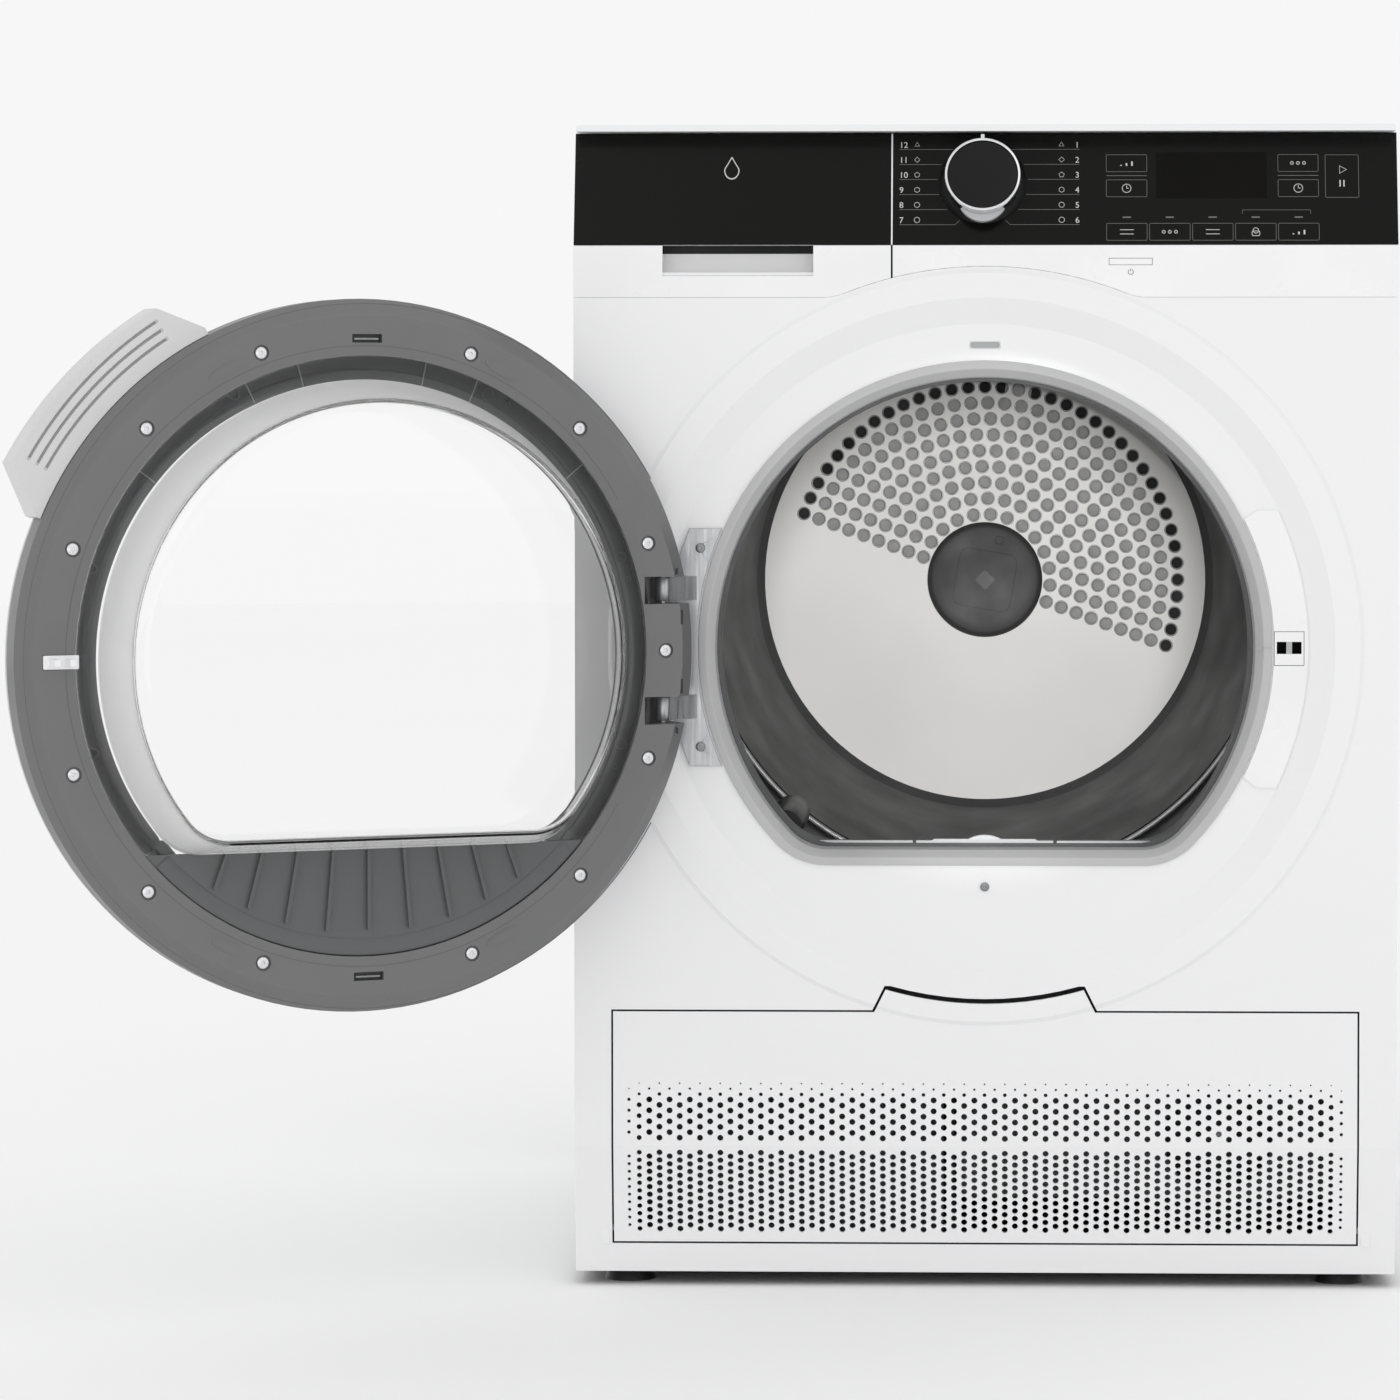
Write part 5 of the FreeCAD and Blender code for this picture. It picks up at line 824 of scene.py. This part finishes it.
def make_hub():
    """Cover in the middle of the drum's back: rounded disc, raised square and diamond."""
    front = DRUM_BACK_Y - 9 * MM
    shape = Shape()
    line = [(0, front + 0.4 * MM), (36 * MM, front + 0.2 * MM), (43 * MM, front + 0.4 * MM),
            (46 * MM, front + 1.4 * MM), (47.6 * MM, front + 3.4 * MM), (48 * MM, front + 5.4 * MM),
            (48 * MM, DRUM_BACK_Y), (0, DRUM_BACK_Y)]
    shape.add(*cap_turned(line, 0, DRUM_Z, 96))
    for half, rise, turn, soft in ((24, 1.3, 10, 9), (6.5, 2.0, 45, 1.5)):
        place = clocked(DRUM_Z, turn)
        for inset, lift in ((0.0, 0.0), (0.7, 0.6), (1.6, 1.0)):
            reach = half - inset
            outline = rounded(mm_box(-reach, reach, -reach, reach), soft * MM, 8)
            shape.add(*slab(outline, front - rise * lift * MM, front + 1 * MM), place)
    piece = shape.piece("hub_cover", "drum", "grey_plastic", HUB_GREY)
    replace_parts(piece, "drum_hub")

    # Dark lines round the foot of the raised square and round a small pip: painted shade in their
    # creases.
    marks = Shape()
    lines = [rounded(mm_box(-reach, reach, -reach, reach), 9 * MM, 8) for reach in (24.6, 23.7)]
    marks.add(*frame_strip(*lines, front - 0.45 * MM, front - 0.05 * MM), clocked(DRUM_Z, 10))
    pip = rounded(mm_box(3.1, 3.9, -0.35, 0.3, front), 0.1 * MM, 1)
    marks.add(*turned(pip, 12 * MM, DRUM_Z + 33 * MM, 32))
    marks.piece("hub_crease_shade", "drum", "grey_plastic", HUB_CREASE_SHADE)
    diamond = rounded(mm_box(-6, 6, -6, 6), 1.2 * MM, 6)
    tilted = slab(diamond, front - 2.3 * MM, front - 1.9 * MM)
    Shape().add(*tilted, clocked(DRUM_Z, 45)).piece(
        "hub_diamond", "drum", "grey_plastic", HUB_PALE)


# ---- Fascia ----
KNOB_AT = Vector(JOINTS["knob_turn"]["pos_m"])
ON_GLASS = Matrix.Translation((0, GLASS_LOW.y, GLASS_LOW.z)) @ Matrix.Rotation(-LEAN, 4, "X")
INK_THICK = 0.12 * MM
STROKE, FINE = 0.45 * MM, 0.35 * MM


def slope(z):
    """Distance up the leaning glass from its lower edge to a height."""
    return (z - GLASS_LOW.z) / math.cos(LEAN)


def stroke(shape, start, end, width=STROKE):
    """A printed line on the glass between two (x, up the glass) points."""
    a, b = Vector(start), Vector(end)
    side = (b - a).orthogonal().normalized() * (width / 2)
    outline = [a - side, b - side, b + side, a + side]
    shape.add(*slab([tuple(p) for p in outline], -INK_THICK, 0.02 * MM))


def outline_box(shape, x0, x1, low, high, width=STROKE):
    """A printed rounded rectangle."""
    outer = rounded(rectangle(x0, x1, low, high), 1.2 * MM, 4)
    inner = rounded(rectangle(x0 + width, x1 - width, low + width, high - width), 0.8 * MM, 4)
    shape.add(*frame_strip(outer, inner, -INK_THICK, 0.02 * MM))


def polygon_ring(shape, x, up, radius, sides, width=STROKE, start=0.0):
    """A printed regular polygon or circle outline, its first corner at an angle in degrees."""
    outer, inner = (circle(r, sides, x, up, start) for r in (radius, radius - width))
    shape.add(*frame_strip(outer, inner, -INK_THICK, 0.02 * MM))


def number_mesh(text, x, up, height, align):
    """Numerals as flat mesh in the glass's own axes."""
    curve = bpy.data.curves.new("numeral", "FONT")
    curve.body = text
    curve.size = height * 1.38
    curve.align_x = align
    curve.resolution_u = 6
    curve.extrude = INK_THICK / 2
    holder = bpy.data.objects.new("numeral", curve)
    mesh = bpy.data.meshes.new_from_object(holder)
    upright = (Matrix.Translation((x, -INK_THICK / 2, up))
               @ Matrix.Rotation(math.pi / 2, 4, "X"))
    verts = [upright @ v.co for v in mesh.vertices]
    faces = [tuple(p.vertices) for p in mesh.polygons]
    bpy.data.objects.remove(holder)
    bpy.data.meshes.remove(mesh)
    return verts, faces


ROW_TOP, ROW_PITCH = 832.4 * MM, 11.08 * MM
LABEL_LEFT, LABEL_RIGHT = -62.6 * MM, 68.7 * MM
DIAL_CLEAR = 33 * MM


def print_programmes(shape, faint):
    """Twelve numbered programmes with leader lines to the dial."""
    dial_up = slope(KNOB_AT.z)
    for row in range(6):
        up = slope(ROW_TOP - row * ROW_PITCH)
        rise = up - dial_up
        for side, edge in ((-1, LABEL_LEFT), (1, LABEL_RIGHT)):
            if row < 5:
                near = KNOB_AT.x + side * math.sqrt(DIAL_CLEAR ** 2 - rise ** 2)
            else:
                near = KNOB_AT.x + side * 20 * MM
                stroke(faint, (near, up), (near - side * 3.4 * MM, up + 3.4 * MM), FINE)
            stroke(faint, (edge, up), (near, up), FINE)
            label = str(row + 1) if side > 0 else str(12 - row)
            align = "RIGHT" if side > 0 else "LEFT"
            shape.add(*number_mesh(label, edge, up + 1.3 * MM, 4.6 * MM, align))
            sides = (3, 4, 5, 6, 8, 28)[row]
            icon = edge - side * 13 * MM
            polygon_ring(shape, icon, up + 3.6 * MM, 2.2 * MM, sides, FINE, 90)


def field(shape, faint, x, z, wide, high, mark):
    """A touch field, placed and sized in millimetres: an outline and a small generic mark."""
    x, up, wide, high = x * MM, slope(z * MM), wide * MM, high * MM
    outline_box(faint, x - wide / 2, x + wide / 2, up - high / 2, up + high / 2, FINE)
    if mark == "bars":
        for k in (-1, 0, 1):
            bar = x + 4 * MM * k
            stroke(shape, (bar, up - 2 * MM), (bar, up + 1.3 * MM * k), 1.2 * MM)
    elif mark == "ring":
        polygon_ring(shape, x, up, 3.4 * MM, 32)
        stroke(shape, (x, up), (x, up + 2.2 * MM))
        stroke(shape, (x, up), (x + 1.6 * MM, up))
    elif mark == "play":
        polygon_ring(shape, x, up + 5 * MM, 3.6 * MM, 3, 0.6 * MM)
        for k in (-1, 1):
            stroke(shape, (x + k * 1.4 * MM, up - 8 * MM), (x + k * 1.4 * MM, up - 3 * MM), 0.9 * MM)
    elif mark == "dots":
        for k in range(3):
            polygon_ring(shape, x + (k - 1) * 4.4 * MM, up, 1.3 * MM, 20, 0.5 * MM)
    elif mark == "waves":
        for rise in (-1.6 * MM, 1.6 * MM):
            stroke(shape, (x - 5 * MM, up + rise), (x + 5 * MM, up + rise))
    elif mark == "lock":
        outline_box(shape, x - 3 * MM, x + 3 * MM, up - 3.2 * MM, up + 0.8 * MM)
        polygon_ring(shape, x, up + 1 * MM, 2.2 * MM, 24)


def make_fascia_print():
    """Everything printed on the fascia glass: numbers, leader lines, fields and marks."""
    ink, faint = Shape(), Shape()
    print_programmes(ink, faint)
    for x, wide, top_mark in ((103, 29.9, "bars"), (227.8, 29.6, "dots")):
        field(ink, faint, x, 822.1, wide, 13.3, top_mark)
        field(ink, faint, x, 803.6, wide, 13.3, "ring")
    field(ink, faint, 259.6, 812.4, 24.5, 32.8, "play")
    for x in (103, 227.8):
        stroke(faint, ((x - 14.7) * MM, slope(812.9 * MM)), ((x + 14.7) * MM, slope(812.9 * MM)))
    for k, mark in enumerate(("waves", "dots", "waves", "lock", "bars")):
        field(ink, faint, 103 + 31.2 * k, 771.6, 29.8, 13.2, mark)
        x = (103 + 31.2 * k) * MM
        stroke(faint, (x - 3 * MM, slope(782.3 * MM)), (x + 3 * MM, slope(782.3 * MM)), 1.1 * MM)
    bracket = slope(787.6 * MM)
    stroke(faint, (187 * MM, bracket), (236.5 * MM, bracket), 0.3 * MM)
    for x in (187, 236.5):
        stroke(faint, (x * MM, bracket), (x * MM, bracket - 3 * MM), 0.3 * MM)
    ink.piece("fascia_print", "cabinet", "white_plastic", INK, ON_GLASS)
    faint.piece("fascia_lines", "cabinet", "white_plastic", FAINT_INK, ON_GLASS)

    window = rounded(rectangle(124.5 * MM, 205 * MM, slope(796.3 * MM), slope(830.1 * MM)), 0.8 * MM)
    plate(window, -0.1 * MM, 0.02 * MM,
          "display_window", "cabinet", "black_glass", DISPLAY, ON_GLASS)


def make_drawer_mark():
    """A plain water drop on the tank drawer's glass."""
    x, up, size = -185 * MM, slope(817 * MM), 9 * MM

    def drop(scale):
        points = []
        for k in range(60):
            turn = math.tau * k / 60
            pinch = 1 - 0.55 * max(0.0, math.sin(turn)) ** 2
            stretch = 1.0 + 0.55 * max(0.0, math.sin(turn)) ** 3
            points.append((x + size * 0.62 * scale * math.cos(turn) * pinch,
                           up + size * 0.75 * scale * math.sin(turn) * stretch))
        return points

    shape = Shape().add(*frame_strip(drop(1.0), drop(0.86), -INK_THICK, 0.02 * MM))
    shape.piece("drawer_drop_mark", "tank", "black_glass", INK, ON_GLASS)


def make_fascia_edge():
    """White edge between the two glasses."""
    top = slope(GLASS_HIGH.z) - 0.4 * MM
    plate(rectangle(-68.45 * MM, -67.35 * MM, 0.3 * MM, top), 0.2 * MM, 2.4 * MM,
          "fascia_edge", "cabinet", "white_plastic", FASCIA, ON_GLASS)


def make_drawer_scoop():
    """Curved finger scoop of the tank drawer, with a black plate at the back of the slot under the
    glass: painted shade.
    """
    y, z, radius = FRONT_Y - 4 * MM, GLASS_LOW.z - 4 * MM, 18.9 * MM
    rings = []
    for k in range(25):
        angle = math.radians(12.6 + 71 * k / 24)
        point = (y + radius * math.sin(angle), z - radius * math.cos(angle))
        under = (point[0] + 0.8 * MM * math.sin(angle), point[1] - 0.8 * MM * math.cos(angle))
        rings.append([(x, py, pz) for x, (py, pz) in
                      ((-238.6 * MM, point), (-121.4 * MM, point),
                       (-121.4 * MM, under), (-238.6 * MM, under))])
    Shape().add(*loft(rings)).piece("drawer_scoop", "tank", "white_plastic", FASCIA)
    back = mm_box(-238.6, -121.4, -2.2, 18, z)
    plate(back, FRONT_Y + 15.2 * MM, FRONT_Y + 16.2 * MM,
          "drawer_slot_painted_shade", "tank", "dark_plastic", SHADE_BLACK)


def make_latch_ports():
    """Black linings and end caps in the latch's two ports, painted shade for their depth, and the grey
    bridge between them.
    """
    ports = Shape()
    face_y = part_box("door_latch")[0].y
    for x in (216, 227):
        outer = mm_box(x - 3.5, x + 3.5, -4.4, 4.4, LOAD_Z)
        inner = mm_box(x - 3.35, x + 3.35, -4.25, 4.25, LOAD_Z)
        ports.add(*frame_strip(outer, inner, face_y - 0.05 * MM, face_y + 20 * MM))
        ports.add(*slab(inner, face_y + 19.6 * MM, face_y + 20 * MM))
    ports.piece("latch_port_painted_shade", "cabinet", "dark_plastic", SHADE_BLACK)
    bridge = rounded(mm_box(219.7, 223.3, -4.4, 4.4, LOAD_Z), 0.4 * MM)
    plate(bridge, face_y - 0.12 * MM, face_y + 0.1 * MM,
          "latch_bridge", "cabinet", "grey_plastic", SLOT_GREY)


def make_power_mark():
    """A ring with a short bar below the power key."""
    x, z, y = 105.8 * MM, 742.5 * MM, FRONT_Y
    ring = Shape()
    outer, inner = (arc(radius * MM, 125, 290, 32, x, z) for radius in (2.1, 1.65))
    ring.add(*slab(outer + inner[::-1], y - INK_THICK, y + 0.02 * MM))
    ring.add(*slab(rectangle(x - 0.22 * MM, x + 0.22 * MM, z + 0.5 * MM, z + 2.6 * MM),
                   y - INK_THICK, y + 0.02 * MM))
    ring.piece("power_mark", "cabinet", "dark_plastic", FAINT_INK)


def make_knob():
    """Programme knob: black dial with a concave face, chrome ring, index and a silver crescent below the
    ring.
    """
    place = Matrix.Translation(KNOB_AT) @ Matrix.Rotation(-LEAN, 4, "X")
    line = [(0, -18.4), (14, -18.6), (22, -19.1), (24.6, -19.6), (25.2, -19.4), (25.35, -18.8),
            (25.35, -6.2), (27.9, -5.9), (28.6, -5.4), (31.2, -1.4), (31.6, -0.9), (31.4, -0.65),
            (0, -0.65)]
    dial = Shape().add(*cap_turned([(r * MM, y * MM) for r, y in line], segments=128))
    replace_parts(dial.piece("knob_dial", "knob", "dark_plastic", KNOB_BLACK, place, 25),
                "knob_body")
    profile = rounded([(25.6 * MM, -6.7 * MM), (25.6 * MM, -20.3 * MM), (27.2 * MM, -20.6 * MM),
                       (28 * MM, -19 * MM), (28 * MM, -6.7 * MM)], 0.6 * MM, 4)
    ring = Shape().add(*turned(profile, segments=160))
    index = rounded(mm_box(-1.3, 1.3, 27.2, 30.4), 0.6 * MM, 3)
    ring.add(*slab(index, -20.2 * MM, -16 * MM))
    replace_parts(ring.piece("knob_chrome_ring", "knob", "chrome", CHROME, place), "knob_ring")
    crescent = arc(28.1 * MM, -122, 64, 24)
    for k in range(25):
        t = 1 - 2 * k / 24
        crescent.append((16 * MM * t, (-23.9 - 9.8 * (1 - t * t) ** 0.8) * MM))
    plate(crescent, -14 * MM, -10.5 * MM,
          "knob_silver_crescent", "knob", "silver_trim", TRIM_SILVER, place)


# ---- Stage, lights and camera ----
VIEW_DISTANCE = 3.7
VIEW_HEIGHT = 0.632
FIELD_WIDTH = 1.0195
SENSOR = 36.0
AIM_LEFT, AIM_DOWN = 0.2075, 0.2010
SHIFT_X, SHIFT_Y = -0.105, -0.100


def make_camera():
    """A little below the top of the opening, aimed a little left and down, the rest made up by shift."""
    camera = bpy.data.cameras.new("camera")
    camera.sensor_width = SENSOR
    camera.lens = SENSOR * VIEW_DISTANCE / FIELD_WIDTH
    camera.shift_x, camera.shift_y = SHIFT_X, SHIFT_Y
    camera.clip_start, camera.clip_end = 0.1, 60
    per_shift = SENSOR / camera.lens
    yaw = math.atan(AIM_LEFT / VIEW_DISTANCE + SHIFT_X * per_shift)
    pitch = math.atan(AIM_DOWN / VIEW_DISTANCE + SHIFT_Y * per_shift)
    eye = bpy.data.objects.new("camera", camera)
    eye.location = (0, FRONT_Y - VIEW_DISTANCE, VIEW_HEIGHT)
    eye.rotation_euler = (math.pi / 2 - pitch, 0, yaw)
    show(eye)
    bpy.context.scene.camera = eye


FLOOR_REACH, FLOOR_SIDES = 14.0, 96
SKY_STRENGTH = 0.93
BEAM_POWER, BEAM_ANGLE = 165, math.radians(7.15)
BEAM_BLEND, BEAM_SOURCE = 0.1, 0.04


def hang(light, at, target):
    """Puts a light in the scene, aimed at a point."""
    lamp = bpy.data.objects.new(light.name, light)
    lamp.location = at
    lamp.rotation_euler = (Vector(target) - Vector(at)).to_track_quat("-Z", "Y").to_euler()
    show(lamp)


def make_light(name, at, target, size, power):
    light = bpy.data.lights.new(name, "AREA")
    light.shape = "RECTANGLE"
    light.size, light.size_y = size
    light.energy = power
    hang(light, at, target)


def make_stage():
    """A wide pale floor, an even white sky, soft boxes and a beam into the drum."""
    ring = [(x, y, 0.0) for x, y in circle(FLOOR_REACH, FLOOR_SIDES)]
    mesh = bpy.data.meshes.new("floor")
    mesh.from_pydata(ring, [], [tuple(range(FLOOR_SIDES))])
    mesh.materials.append(PAPER)
    floor = bpy.data.objects.new("floor", mesh)
    show(floor)

    world = bpy.data.worlds.new("studio")
    world.use_nodes = True
    sky = world.node_tree.nodes["Background"]
    sky.inputs["Color"].default_value = (1, 1, 1, 1)
    sky.inputs["Strength"].default_value = SKY_STRENGTH
    bpy.context.scene.world = world
    middle = (-0.1, -0.2, 0.45)
    make_light("key", (-1.6, -3.4, 2.6), middle, (2.2, 1.6), 4.5)
    make_light("fill", (2.3, -3.0, 1.4), middle, (1.8, 1.8), 2)
    make_light("front", (0.1, -4.7, 0.5), (0, 0, 0.25), (3.0, 1.0), 6.5)
    beam = bpy.data.lights.new("drum_beam", "SPOT")
    beam.energy = BEAM_POWER
    beam.spot_size = BEAM_ANGLE
    beam.spot_blend = BEAM_BLEND
    beam.shadow_soft_size = BEAM_SOURCE
    hang(beam, (0.05, FRONT_Y - 2.6, DRUM_Z + 0.12), (0, FRONT_Y, LOAD_Z + 20 * MM))
    bpy.context.scene.view_settings.view_transform = "Standard"


dress_cad_nodes()
make_gasket()
make_throat_ledge()
make_dish_slot()
make_bowl()
make_door_liner()
make_handle_grooves()
make_frame_slits()
make_door_screws()
make_door_embossing()
make_cabinet_screws()
make_corner_gussets()
make_hinge_tongues()
make_drum_details()
make_hub()
make_fascia_print()
make_drawer_mark()
make_fascia_edge()
make_drawer_scoop()
make_latch_ports()
make_power_mark()
make_knob()
make_stage()
make_camera()
